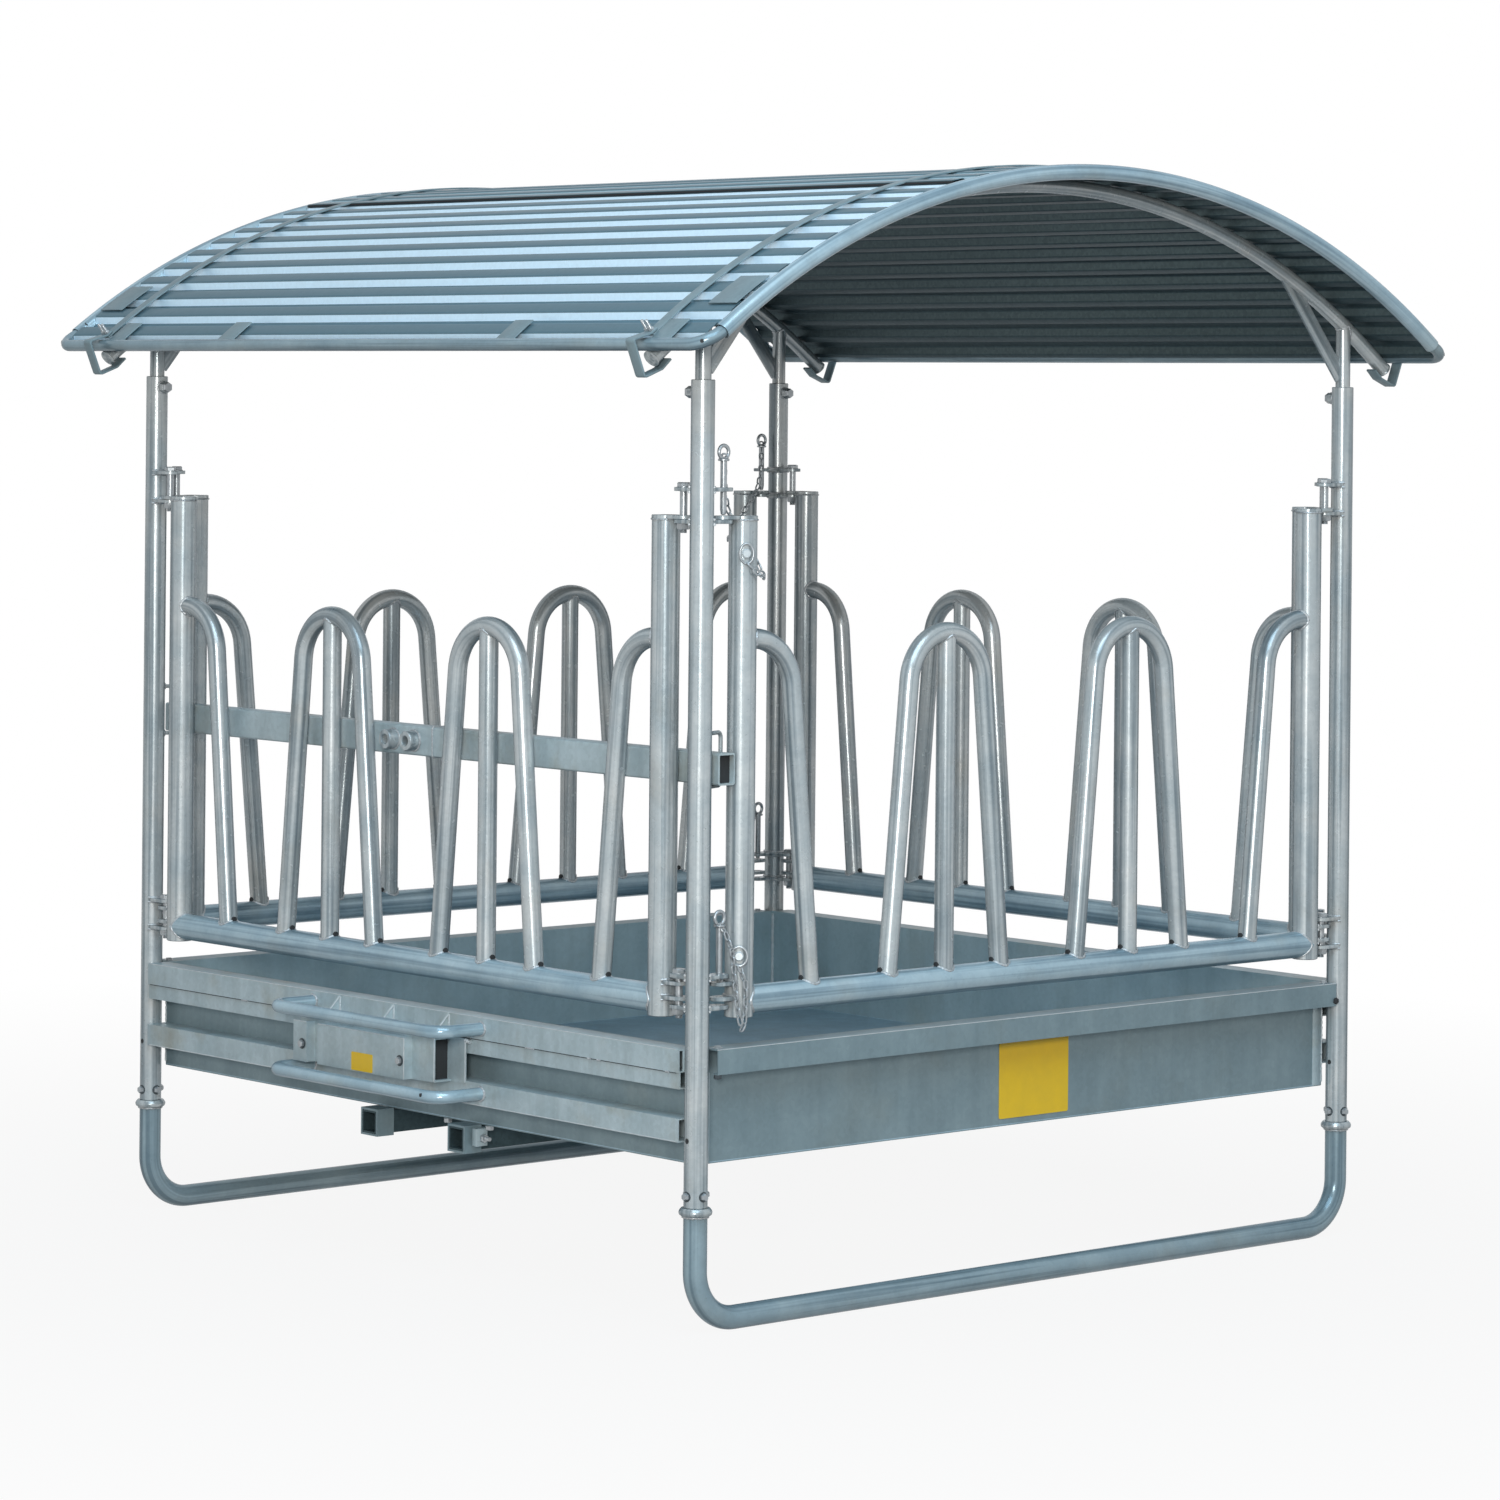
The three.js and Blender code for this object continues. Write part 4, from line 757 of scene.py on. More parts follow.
def piece(name, shapes, body, nodes=(), sharp=38):
    """One object made of shapes, smooth apart from its sharp edges, riding on a body. Each piece has
    its grain at another place of the texture."""
    points, grains, faces, kinds, start = [], [], [], [], 0
    used = sorted({shape.finish for shape in shapes})
    for shape in shapes:
        points.append(shape.points)
        grains.append(shape.grain)
        faces.extend([[index + start for index in face] for face in shape.faces])
        kinds.extend([used.index(shape.finish)] * len(shape.faces))
        start += len(shape.points)
    mesh = bpy.data.meshes.new(name)
    mesh.from_pydata((np.concatenate(points) * MM).tolist(), [], faces)
    for finish in used:
        mesh.materials.append(FINISHES[finish])
    mesh.polygons.foreach_set("material_index", np.array(kinds, np.int32))
    shift = np.random.default_rng(sum(map(ord, name))).uniform(0, 4000, 3)
    grain = mesh.attributes.new("grain", "FLOAT_VECTOR", "POINT")
    grain.data.foreach_set("vector", ((np.concatenate(grains) + shift) * MM).ravel())
    mesh.shade_smooth()
    mesh.set_sharp_from_angle(angle=math.radians(sharp))
    mesh.update()
    made = bpy.data.objects.new(name, mesh)
    bpy.context.scene.collection.objects.link(made)
    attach(made, body)
    if nodes:
        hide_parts(*nodes)


def paint(node, finish):
    """Gives a CAD node's slots a finish."""
    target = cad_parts[node]
    if not target.data.materials:
        target.data.materials.append(FINISHES[finish])
    for slot in target.material_slots:
        slot.material = FINISHES[finish]


# Pieces of the base


def ear_beads(x, z, radius, lift, slack, seed):
    """Beads above and below an ear where it meets an upright tube at x: arcs a little longer than the
    ear is wide."""
    half = math.asin(EAR_HALF / radius) + slack
    t = np.linspace(-half, half, 18)
    reach = radius + lift
    made = []
    for side in (-1, 1):
        level = np.full(len(t), z + side * (EAR_THICKNESS / 2 + 1.2))
        curve = np.stack([x + reach * np.cos(t), reach * np.sin(t), level], axis=1)
        made.append(bead(curve, EAR_WELD, False, seed + side))
    return made


def hinge_bolt(upper, lower):
    """Bolt through a pair of ears, head above, nut and thread end below."""
    top, bottom = upper + EAR_THICKNESS / 2, lower - EAR_THICKNESS / 2
    x = PIN_OFFSET
    return [
        bar((x, 0, bottom - HINGE_NUT), (x, 0, top + 2), HINGE_SHANK, 20, "zinc"),
        hex_bolt((x, 0, top), Z_AXIS, HINGE_FLATS, HINGE_HEAD),
        hex_bolt((x, 0, bottom), -Z_AXIS, HINGE_FLATS, HINGE_NUT),
        threaded_rod((x, 0, bottom - HINGE_THREAD_END), Z_AXIS, *HINGE_THREAD),
        drum((x, 0, top), Z_AXIS, *HINGE_WASHER, 0.3, 24, "zinc"),
    ]


def post_ears(bolts):
    """Two pairs of ears towards +X with their beads, and hinge bolts where the pair carries them."""
    shapes = []
    for pair in EAR_PAIRS:
        for z in pair:
            shapes.append(holed_ear(0, PIN_OFFSET, z, HINGE_HOLE if bolts else LATCH_HOLE_RADIUS))
            shapes += ear_beads(0, z, POST_RADIUS, 1.2, 0.05, int(z))
        if bolts:
            shapes += hinge_bolt(*pair)
    return shapes


def set_bolt():
    """Set bolt towards +X in a nut that is welded to the post: the bead follows the post's surface
    at the root of its radius squared less the side step squared."""
    foot, top = SET_NUT
    t = np.linspace(0, 2 * np.pi, 24)[:-1]
    side = (SET_NUT_RADIUS - 0.5) * np.cos(t)
    level = SET_BOLT_Z + (SET_NUT_RADIUS - 0.5) * np.sin(t)
    ring = np.stack([np.sqrt((POST_RADIUS + 0.5)**2 - side**2), side, level], axis=1)
    return [
        bar((foot - 5, 0, SET_BOLT_Z), (top + 2, 0, SET_BOLT_Z), HINGE_SHANK, 20, "zinc"),
        hex_bolt((top, 0, SET_BOLT_Z), X_AXIS, SET_BOLT_FLATS, SET_BOLT_REACH - top),
        drum((foot, 0, SET_BOLT_Z), X_AXIS, SET_NUT_RADIUS, top - foot, 1, 6, "tube"),
        bead(ring, 2.4, seed=5),
    ]


def staple(x, y):
    """Rod bent to a staple from the post's axis out to x and y, with a bead round each foot."""
    low, high = STAPLE_Z
    corners = [(0, 0, low), (x, y, low), (x, y, high), (0, 0, high)]
    heading = unit(np.array([x, y, 0.0]))
    shapes = [bent_bar(corners, STAPLE_BEND, STAPLE_RADIUS, unit(np.cross((x, y, 0), Z_AXIS)), 16)]
    for z in STAPLE_Z:
        ring = saddle((0, 0, z), heading, STAPLE_RADIUS + 1, (0, 0, 0), Z_AXIS, POST_RADIUS)
        shapes.append(bead(ring, 2.0, seed=int(z)))
    return shapes


def corner_post(latched, staple_reach):
    """Post about its own axis, panels towards +X and +Y."""
    profile = [
        (POST_RADIUS - 1, POST_BOTTOM),
        (POST_RADIUS, POST_BOTTOM + 1),
        (POST_RADIUS, POST_TOP - 1.5),
        (POST_RADIUS - 1.5, POST_TOP),
        (MOUTH_RADIUS + 0.8, POST_TOP),
        (MOUTH_RADIUS, POST_TOP - 1),
        (MOUTH_RADIUS, POST_TOP - MOUTH_DEPTH),
    ]
    shapes = [turned(profile, (0, 0, 0))]
    for turn, bolts in ((0, not latched), (90, True)):
        shapes += [shape.moved(turn=turn) for shape in post_ears(bolts)]
    shapes += [shape.moved(turn=90 if latched else 0) for shape in set_bolt()]
    for angle in (0, 90, 180, 270):
        bolt = hex_bolt((POST_RADIUS - 1, 0, FOOT_BOLT_Z), X_AXIS, *FOOT_BOLT)
        stain = post_patch(0, FOOT_BOLT_Z, FOOT_STAIN, "seam")
        shapes += [bolt.moved(turn=angle), stain.moved(turn=angle)]
    # Dark spots that stand for drain holes: painted shade
    hole_turn = 0 if latched else math.pi / 2
    shapes += [post_patch(hole_turn + side, DRAIN_Z, DRAIN_RADIUS) for side in (0, math.pi)]
    if staple_reach:
        shapes += staple(*staple_reach)
    return shapes


def build_posts():
    """Four corner posts with ears, bolts and clamps."""
    for name, x, y, turn, latched, staple_reach in POSTS:
        shapes = [shape.moved(x, y, 0, turn) for shape in corner_post(latched, staple_reach)]
        piece(f"post_{name}", shapes, "base", [f"corner_post_{name}"])


def build_skids():
    """Two skids with their collars."""
    tube_top = POST_BOTTOM - 0.3 - COLLAR_HEIGHT
    corners = [
        (-POST_HALF, 0, tube_top + 2),
        (-POST_HALF, 0, SKID_RADIUS),
        (POST_HALF, 0, SKID_RADIUS),
        (POST_HALF, 0, tube_top + 2),
    ]
    for name, y in (("front", -POST_HALF), ("back", POST_HALF)):
        # Skid in the darker tube finish: painted shade
        shapes = [bent_bar(corners, SKID_BEND, SKID_RADIUS, Y_AXIS, 40, 24, "cool")]
        for x in (-POST_HALF, POST_HALF):
            shapes.append(turned(COLLAR_PROFILE, (x, 0, tube_top)))
            ring = oval((x, 0, tube_top - 1.5), COLLAR_WELD, COLLAR_WELD, 40, X_AXIS, Y_AXIS)
            shapes.append(bead(ring, 2.6, seed=x + 1000))
        piece(f"skid_tube_{name}", [s.moved(0, y) for s in shapes], "base", [f"skid_{name}"])


def tray_end_fittings():
    """Fittings of the tray's front end: bolts in the rim and under the lip, a painted highlight along the
    lip's edge, and at each corner a strip over the fold with a weld line outside and one inside."""
    shapes = []
    for x, y in RIM_BOLT_PLACES:
        shapes.append(hex_bolt((x, y, TROUGH_TOP), Z_AXIS, *RIM_BOLT))
        shapes.append(drum((x, y, TROUGH_TOP), Z_AXIS, *RIM_WASHER, 0.2, 20, "zinc"))
    # Bolt at the lip's end in the shadowed-hole finish: painted shade
    shapes.append(hex_bolt((943, -RIM_OUTER, 545), -Y_AXIS, 13, 6, "dark"))
    shapes.append(hex_bolt((-940, -RIM_OUTER + 8, RIM_LIP_BOTTOM), -Z_AXIS, 15, 9, "seam"))
    lip = np.array([LIP_HALF, -RIM_OUTER + 0.4, TROUGH_TOP - 0.3])
    shapes.append(edge_highlight(lip * (-1, 1, 1), lip, 1.0))
    for hand in (-1, 1):
        strip = block((-15, -1.3, TRAY_FLOOR - 1), (15, 1.3, RIM_LIP_BOTTOM - 2), "sheet")
        shapes.append(strip.moved(hand * (TROUGH_HALF - 16), -TROUGH_HALF - 1.2))
        x, y = hand * (TROUGH_HALF - 1), -TROUGH_HALF - 1
        shapes.append(weld_line((x, y, TRAY_FLOOR + 6), (x, y, RIM_LIP_BOTTOM - 6), 40, 2.8, hand + 3))
        x, y = hand * (TROUGH_HALF - 5), -TROUGH_HALF + 5
        shapes.append(weld_line((x, y, TRAY_FLOOR + 4), (x, y, TROUGH_TOP - 6), 40, 3.6, hand + 8))
    return shapes


def rail_fittings(side):
    """Seam under a side's upper rail with short welds at seven places, painted highlights along the rails'
    edges, and the tongues beside the posts."""
    rng = np.random.default_rng(11)
    face = side * RIM_OUTER
    edge, seam = face - side * 0.4, face - side * 0.9
    shapes = [bar((seam, -RAIL_HALF, RAIL_SEAM_Z), (seam, RAIL_HALF, RAIL_SEAM_Z), 1.3, 6, "seam")]
    for y in (*rng.uniform(-900, 900, 3), *SEAM_WELDS):
        spot = np.array([face + side * 0.6, y, RAIL_SEAM_Z + 0.2])
        line = spot + np.outer(np.linspace(-0.5, 0.5, 9) * rng.uniform(10, 30), Y_AXIS)
        shapes.append(bead(line, 2.2, False, int(abs(y)), "weld"))
    shapes += [edge_highlight((edge, -RAIL_HALF, z), (edge, RAIL_HALF, z), 1.0) for z in RAIL_EDGES]
    width, thickness, height = TONGUE
    tongue = block((-width / 2, -thickness / 2, 0), (width / 2, thickness / 2, height), "sheet")
    for hand in (-1, 1):
        shapes.append(tongue.moved(side * (POST_HALF + 4), hand * (TROUGH_HALF + 1.6), TONGUE_Z))
    return shapes


def build_trough():
    """Finishes of the tray, rails and fork tubes, and the fittings of the tray and rails."""
    paint("trough_tray", "tray")
    for side in ("left", "right"):
        for level in ("upper", "lower"):
            paint(f"side_rail_{level}_{side}", "sheet")
    for end in ("far", "near"):
        paint(f"fork_sleeve_{end}", "tray")
        # Fork tubes take the roof's underside finish: painted shade under the trough
        paint(f"fork_tube_{end}", "under")
    shapes = [shape.moved(turn=turn) for turn in (0, 180) for shape in tray_end_fittings()]
    piece("trough_fittings", shapes, "base")
    piece("rail_seams", rail_fittings(-1) + rail_fittings(1), "base")


def build_bumpers():
    """Upper and lower bumper tube with a bead round each foot."""
    for name, z in BUMPER_LEVELS.items():
        corners = [
            (HITCH_BACK, BUMPER_HALF, z),
            (BUMPER_FRONT, BUMPER_HALF, z),
            (BUMPER_FRONT, -BUMPER_HALF, z),
            (HITCH_BACK, -BUMPER_HALF, z),
        ]
        # Bumper in the lighter tube finish: painted sky reflection
        shapes = [bent_bar(corners, BUMPER_BEND, BUMPER_RADIUS, Z_AXIS, 32, 18, "level")]
        for y in (-BUMPER_HALF, BUMPER_HALF):
            ring = oval((HITCH_BACK - 1.5, y, z), BUMPER_WELD, BUMPER_WELD, 30, Y_AXIS, Z_AXIS)
            shapes.append(bead(ring, 2.6, seed=z + y + 400))
        piece(f"bumper_tube_{name}", shapes, "base", [f"bumper_{name}"])


def cover_fittings():
    """Bolts of the hitch cover, dark blocks of painted shade in the open ends of the box, and a painted
    highlight along an edge and a weld line on each gusset."""
    shapes = []
    for y in COVER_BOLTS:
        shapes.append(drum((COVER_FRONT, y, COVER_BOLT_Z), -X_AXIS, 12, 1.5, 0.3, 24, "seam"))
        shapes.append(hex_bolt((COVER_FRONT - 1.2, y, COVER_BOLT_Z), -X_AXIS, *COVER_BOLT))
    # Painted shade inside the box's open ends
    for y in BOX_HOLLOWS:
        low, high = (HITCH_FRONT + 4.3, y - 1, BOX_BOTTOM + 2.3), (HITCH_BACK - 4.3, y + 1, HITCH_TOP - 4.3)
        shapes.append(block(low, high, "dark"))
    for y in GUSSETS:
        side = y - 3.5
        top = (HITCH_BACK - 2.0, side, TROUGH_TOP - 3)
        shapes.append(edge_highlight(top, (HITCH_FRONT + 2.0, side, HITCH_TOP + 1), 1.5))
        foot = np.array([HITCH_BACK - 1.5, side, HITCH_TOP + 2])
        shapes.append(weld_line(foot, foot + (0, 0, TROUGH_TOP - HITCH_TOP - 6), 18, 2.6, y + 300))
    return shapes


def hitch_edges():
    """Welds beside the bumper feet, and painted highlights along the edges of the cover, the box and its
    flange.
    """
    shapes = []
    for y, z, seed in BUMPER_FOOT_WELDS:
        line = np.linspace((HITCH_BACK - 1, y - 9, z), (HITCH_BACK - 1, y + 9, z + 3), 9)
        shapes.append(bead(line, 4.4, False, seed, "edge"))
    cover, front, flange = COVER_FRONT + 0.8, HITCH_FRONT + 0.8, HITCH_BACK - 3.4
    low, high = COVER_ENDS
    box_top = HITCH_TOP - 1
    for x, start, end in (
        (cover, (low, COVER_TOP + 0.4), (CATCH_ENDS[0], COVER_TOP + 0.4)),
        (cover, (CATCH_ENDS[1], COVER_TOP + 0.4), (high, COVER_TOP + 0.4)),
        (front, (FLANGE_END, box_top + 0.4), (low - 3, box_top + 0.4)),
        (cover, (low - 0.4, BOX_BOTTOM), (low - 0.4, COVER_TOP)),
        (front, (FLANGE_END - 0.4, BOX_BOTTOM), (FLANGE_END - 0.4, box_top)),
        (flange, (FLANGE_END - 50.4, BOX_BOTTOM), (FLANGE_END - 50.4, box_top)),
    ):
        shapes.append(edge_highlight((x, *start), (x, *end), 1.5))
    return shapes


def build_hitch():
    """Finishes of the hitch with its bumper tubes, bolts, edges and weld lines."""
    paint("hitch_box", "sheet")
    paint("hitch_cover", "sheet")
    build_bumpers()
    shapes = cover_fittings() + hitch_edges()
    # Dark disc that stands for a hole in the lower bumper: painted shade
    shapes.append(drum((BUMPER_FRONT - 11, -262, 425), -X_AXIS, 4, 3.6, 0.4, 16, "dark"))
    shapes += [hex_bolt((-955, y, 343), -Z_AXIS, *FORK_BOLT) for y in FORK_BOLTS]
    shapes.append(block((-985, -262, 300), (-955, -246, 338), "sheet"))
    shapes.append(hex_bolt((-968, -262, 317), -Y_AXIS, 17, 10))
    shapes.append(threaded_rod((-968, -286, 317), Y_AXIS, 4.5, 24))
    piece("hitch_fittings", shapes, "base")


def bar_section(outline, y):
    """Outline about the carrying bar's axis, in the upright plane at y."""
    level = np.full(len(outline), float(y))
    return np.column_stack([BAR_CENTRE_X + outline[:, 0], level, BAR_CENTRE_Z + outline[:, 1]])


def build_carrying_bar():
    """Rectangular tube with rounded corners, dark blocks of painted shade in its open ends, two eyes with
    dark discs of painted shade in their holes, and a butt weld.
    """
    width, height = BAR_SIZE
    hollow_width, hollow_height = width - 2 * BAR_WALL, height - 2 * BAR_WALL
    outer = rounded_rectangle(width, height, 5, 6)
    inner = rounded_rectangle(hollow_width, hollow_height, 2.5, 6)
    near, far = BAR_ENDS
    stations = [(outer, near + 0.6), (outer, far - 0.6), (inner, far), (inner, near)]
    rings = np.stack([bar_section(outline, y) for outline, y in stations])
    shapes = [skin(rings[:, ::-1], closed=True, finish="sheet")]
    hollow = np.array([hollow_width / 2 + 0.3, 1, hollow_height / 2 + 0.3])
    # Painted shade inside the open ends
    for y in (near + 14, far - 14):
        middle = np.array([BAR_CENTRE_X, y, BAR_CENTRE_Z])
        shapes.append(block(middle - hollow, middle + hollow, "dark"))
    face = BAR_CENTRE_X - width / 2
    for y in BAR_EYES:
        eye = [oval((face - out, y, BAR_CENTRE_Z), r, r, 36, Y_AXIS, Z_AXIS) for r, out in EYE_PROFILE]
        shapes.append(skin(np.stack(eye)[::-1], closed=True))
        ring = oval((face - 0.8, y, BAR_CENTRE_Z), 23, 23, 36, Y_AXIS, Z_AXIS)
        shapes.append(bead(ring, 2.4, seed=y))
        # Painted shade in the eye's hole
        shapes.append(drum((face + 1.2, y, BAR_CENTRE_Z), -X_AXIS, 10.6, 2, 0.2, 28, "dark"))
    seam = bar_section(rounded_rectangle(width + 1, height + 1, 5, 10), BUTT_WELD_Y)
    shapes.append(bead(seam, 2.2, seed=9))
    piece("carrying_tube", shapes, "carrying_bar_body", ["carrying_bar"])


# Feeding panels


def arch_path():
    """Left leg, crown arc and right leg: legs lean inwards and the crown's radius is the one that
    makes the arc touch them."""
    steps = 30
    top = RAIL_Z + RAIL_RADIUS
    crown_half = ARCH_FOOT - (ARCH_CROWN - top) * math.tan(ARCH_LEAN)
    radius = crown_half * math.cos(ARCH_LEAN) / (1 - math.sin(ARCH_LEAN))
    t = np.linspace(math.pi - ARCH_LEAN, ARCH_LEAN, steps)
    centre = np.array([0, 0, ARCH_CROWN - radius])
    out = np.stack([np.cos(t), np.zeros(steps), np.sin(t)], axis=1)
    tangent = np.stack([out[:, 2], np.zeros(steps), -out[:, 0]], axis=1)
    foot_z = RAIL_Z + 12
    foot_x = ARCH_FOOT + (top - foot_z) * math.tan(ARCH_LEAN)
    points = np.concatenate([[(-foot_x, 0, foot_z)], centre + radius * out, [(foot_x, 0, foot_z)]])
    tangents = np.concatenate([tangent[:1], tangent, tangent[-1:]])
    return points, tangents


def vents(foot_x):
    """Dark drain holes at both sides of a tube's foot, where it meets the rail: drums of painted shade."""
    level = RAIL_Z + RAIL_RADIUS + 3.5
    return [
        drum((foot_x + side * (ARCH_RADIUS - 2), 0, level), side * X_AXIS, *VENT, 0.6, 16, "dark")
        for side in (-1, 1)
    ]


def arch_shapes(centre_x, seed):
    """Whole arch with a bead round each foot."""
    points, tangents = arch_path()
    shapes = [carried(circle(ARCH_RADIUS, 32), points, tangents, Y_AXIS)]
    for i, side in ((0, 1), (-1, -1)):
        ring = saddle(points[i], tangents[i] * side, ARCH_RADIUS, (0, 0, RAIL_Z), X_AXIS, RAIL_RADIUS)
        shapes.append(bead(ring, 3.0, seed=seed + i))
    shapes += vents(-ARCH_FOOT) + vents(ARCH_FOOT)
    return [shape.moved(centre_x) for shape in shapes]


def middle_bar_shapes(centre_x, seed):
    """Upright inside an arch, with a bead at each end."""
    shapes = [bar((0, 0, RAIL_Z + 12), (0, 0, ARCH_CROWN - 4), ARCH_RADIUS - 0.2, 32)]
    foot = saddle((0, 0, RAIL_Z), Z_AXIS, ARCH_RADIUS, (0, 0, RAIL_Z), X_AXIS, RAIL_RADIUS)
    head = saddle((0, 0, ARCH_CROWN), -Z_AXIS, ARCH_RADIUS - 1, (0, 0, ARCH_CROWN), X_AXIS, ARCH_RADIUS)
    shapes += [bead(foot, 3.0, seed=seed), bead(head, 2.8, seed=seed + 1), *vents(0)]
    return [shape.moved(centre_x) for shape in shapes]


def panel_end():
    """Right end of a panel: end post, top plate, ears and half arch."""
    x = PANEL_POST_X
    profile = [
        (PANEL_POST_RADIUS - 2, PANEL_BOTTOM),
        (PANEL_POST_RADIUS, PANEL_BOTTOM + 1.5),
        (PANEL_POST_RADIUS, PANEL_TOP - EAR_THICKNESS),
        (PANEL_POST_RADIUS - 1, PANEL_TOP - 7),
    ]
    shapes = [turned(profile, (x, 0, 0))]
    cap = (x, 0, PANEL_TOP - EAR_THICKNESS)
    shapes.append(drum(cap, Z_AXIS, PANEL_POST_RADIUS + 0.5, EAR_THICKNESS, 1.2, 40))
    for z in (PANEL_TOP - EAR_THICKNESS / 2, *PANEL_EARS):
        shapes.append(holed_ear(x, PIN_X, z, PANEL_HOLE_RADIUS))
    for z in PANEL_EARS:
        shapes += ear_beads(x, z, PANEL_POST_RADIUS, 1, 0.04, z)
    ring = oval((x, 0, PANEL_TOP - 9.0), CAP_WELD, CAP_WELD, 40, X_AXIS, Y_AXIS)
    shapes.append(bead(ring, 1.8, seed=3))
    points, tangents = arch_path()
    middle = len(points) // 2
    crown = [(0, 0, ARCH_CROWN), (x - HALF_ARCH_X - 6, 0, ARCH_CROWN)]
    half_points = np.concatenate([points[:middle], crown])
    half_tangents = np.concatenate([tangents[:middle], [X_AXIS], [X_AXIS]])
    arm = [carried(circle(ARCH_RADIUS, 32), half_points, half_tangents, Y_AXIS), *vents(-ARCH_FOOT)]
    ring = saddle(points[0], tangents[0], ARCH_RADIUS, (0, 0, RAIL_Z), X_AXIS, RAIL_RADIUS)
    arm.append(bead(ring, 3.0, seed=21))
    wall = x - HALF_ARCH_X
    ring = saddle((wall, 0, ARCH_CROWN), -X_AXIS, ARCH_RADIUS, (wall, 0, 0), Z_AXIS, PANEL_POST_RADIUS)
    arm.append(bead(ring, 3.2, seed=22))
    shapes += [shape.moved(HALF_ARCH_X) for shape in arm]
    ring = saddle((x, 0, RAIL_Z), -X_AXIS, RAIL_RADIUS - 1, (x, 0, 0), Z_AXIS, PANEL_POST_RADIUS)
    shapes.append(bead(ring, 3.0, seed=23))
    return shapes


def build_panels():
    """Four feeding panels: frame, two arches and two uprights each."""
    end = panel_end()
    # Rail in the lighter tube finish: painted sky reflection
    rail = bar((-PANEL_POST_X, 0, RAIL_Z), (PANEL_POST_X, 0, RAIL_Z), RAIL_RADIUS, 40, "level")
    members = [("frame_tubes", "frame", end + [shape.moved(turn=180) for shape in end] + [rail])]
    for i, centre in ((1, -ARCH_CENTRE), (2, ARCH_CENTRE)):
        members.append((f"arch_tube_{i}", f"arch_{i}", arch_shapes(centre, 30 * i)))
        members.append((f"upright_{i}", f"middle_bar_{i}", middle_bar_shapes(centre, 40 * i)))
    for name, body, x, y, turn in PANELS:
        for label, node, shapes in members:
            placed = [shape.moved(x, y, 0, turn) for shape in shapes]
            piece(f"{name}_{label}", placed, body, [f"{name}_{node}"])


def build_latch_pins():
    """Four latch pins with tapered tips, collars and pull rings."""
    ring_z = PIN_REACH + 18.5
    shapes = [
        turned(PIN_PROFILE, (0, 0, 0), sides=24, finish="zinc"),
        drum((0, 0, PIN_REACH), Z_AXIS, *PIN_COLLAR, 1.2, 28, "zinc"),
        wire_loop(oval((0, 0, ring_z), *PULL_RING, 36, X_AXIS, Z_AXIS), PULL_RING_WIRE, 12, Y_AXIS),
    ]
    for gate, side in (("front", -1), ("back", 1)):
        for level, tip in LIFTED_TIPS.items():
            placed = [s.moved(side * PIN_X, side * POST_HALF, tip) for s in shapes]
            piece(f"latch_rod_{gate}_{level}", placed, f"latch_pin_{gate}_{level}_body",
                  [f"latch_pin_{gate}_{level}"])


def chain_eye(z, bearing, width, height):
    """Oval ring that hangs flat on a gate's end post at a bearing from -Y towards -X, round a rivet
    head. Returns both and the ring's centre."""
    out = np.array([-math.sin(bearing), -math.cos(bearing), 0.0])
    centre = np.array([-PANEL_POST_X, 0, z]) + out * (PANEL_POST_RADIUS + 4)
    loop = oval(centre, width / 2, height / 2, 32, np.cross(Z_AXIS, out), Z_AXIS)
    rivet = drum(centre - out * 6, out, 10, 8.5, 2.4, 28, "edge")
    return [wire_loop(loop, 2.4, 10, out), rivet], centre


def build_chains():
    """Chain eyes on the gates' end posts, with the chains that hold the latch pins. Each chain runs
    from its eye to the pull ring of the lifted pin."""
    sizes = bpy.context.scene.feeder_sizes
    link = (sizes.link_length / MM, sizes.link_width / MM)
    wire = sizes.link_wire / MM
    x = -PANEL_POST_X
    (top_eye, top), (low_eye, low) = (chain_eye(*eye) for eye in CHAIN_EYES)
    upper = [
        top - 20 * Z_AXIS, (x + 2, -40, 1566), (x + 20, -38, 1556), (x + 34, -28, 1554),
        (x + 42, -10, 1564), (x + 42, 10, 1590), (x + 34, 28, 1624), (x + 12, 40, 1660),
        (x - 10, 40, 1696), (x - 26, 30, 1734), (x - 40, 16, 1768), (x - 50, 5, 1794),
        (x - 54, 0, 1804),
    ]
    lower = [
        (x - 54, -2, 838), (x - 50, -16, 818), (x - 44, -27, 786), (x - 40, -30, 738),
        (x - 36, -34, 686), (x - 32, -38, 648), (x - 28, -40, 630), (x - 24, -40, 627),
        (x - 20, -40, 634), (x - 17, -40, 672), (x - 17, -40, 716), low - 18 * Z_AXIS,
    ]
    shapes = top_eye + low_eye + chain(upper, link, wire) + chain(lower, link, wire)
    for gate, turn in (("front_gate", 0), ("back_gate", 180)):
        placed = [s.moved(0, -POST_HALF).moved(turn=turn) for s in shapes]
        piece(f"{gate}_chains", placed, gate)


# Roof


def roof_arc(radius, a, y=0.0):
    """Points radius * (sin a, cos a) about the roof's centre in the upright plane at y, with
    tangents."""
    points = np.stack(
        [radius * np.sin(a), np.full(len(a), float(y)), ROOF_CENTRE + radius * np.cos(a)], axis=1
    )
    tangents = np.stack([np.cos(a), np.zeros(len(a)), -np.sin(a)], axis=1)
    return points, tangents


def roof_point(radius, angle):
    """One point of such an arc, at y 0."""
    return np.array([radius * math.sin(angle), 0, ROOF_CENTRE + radius * math.cos(angle)])


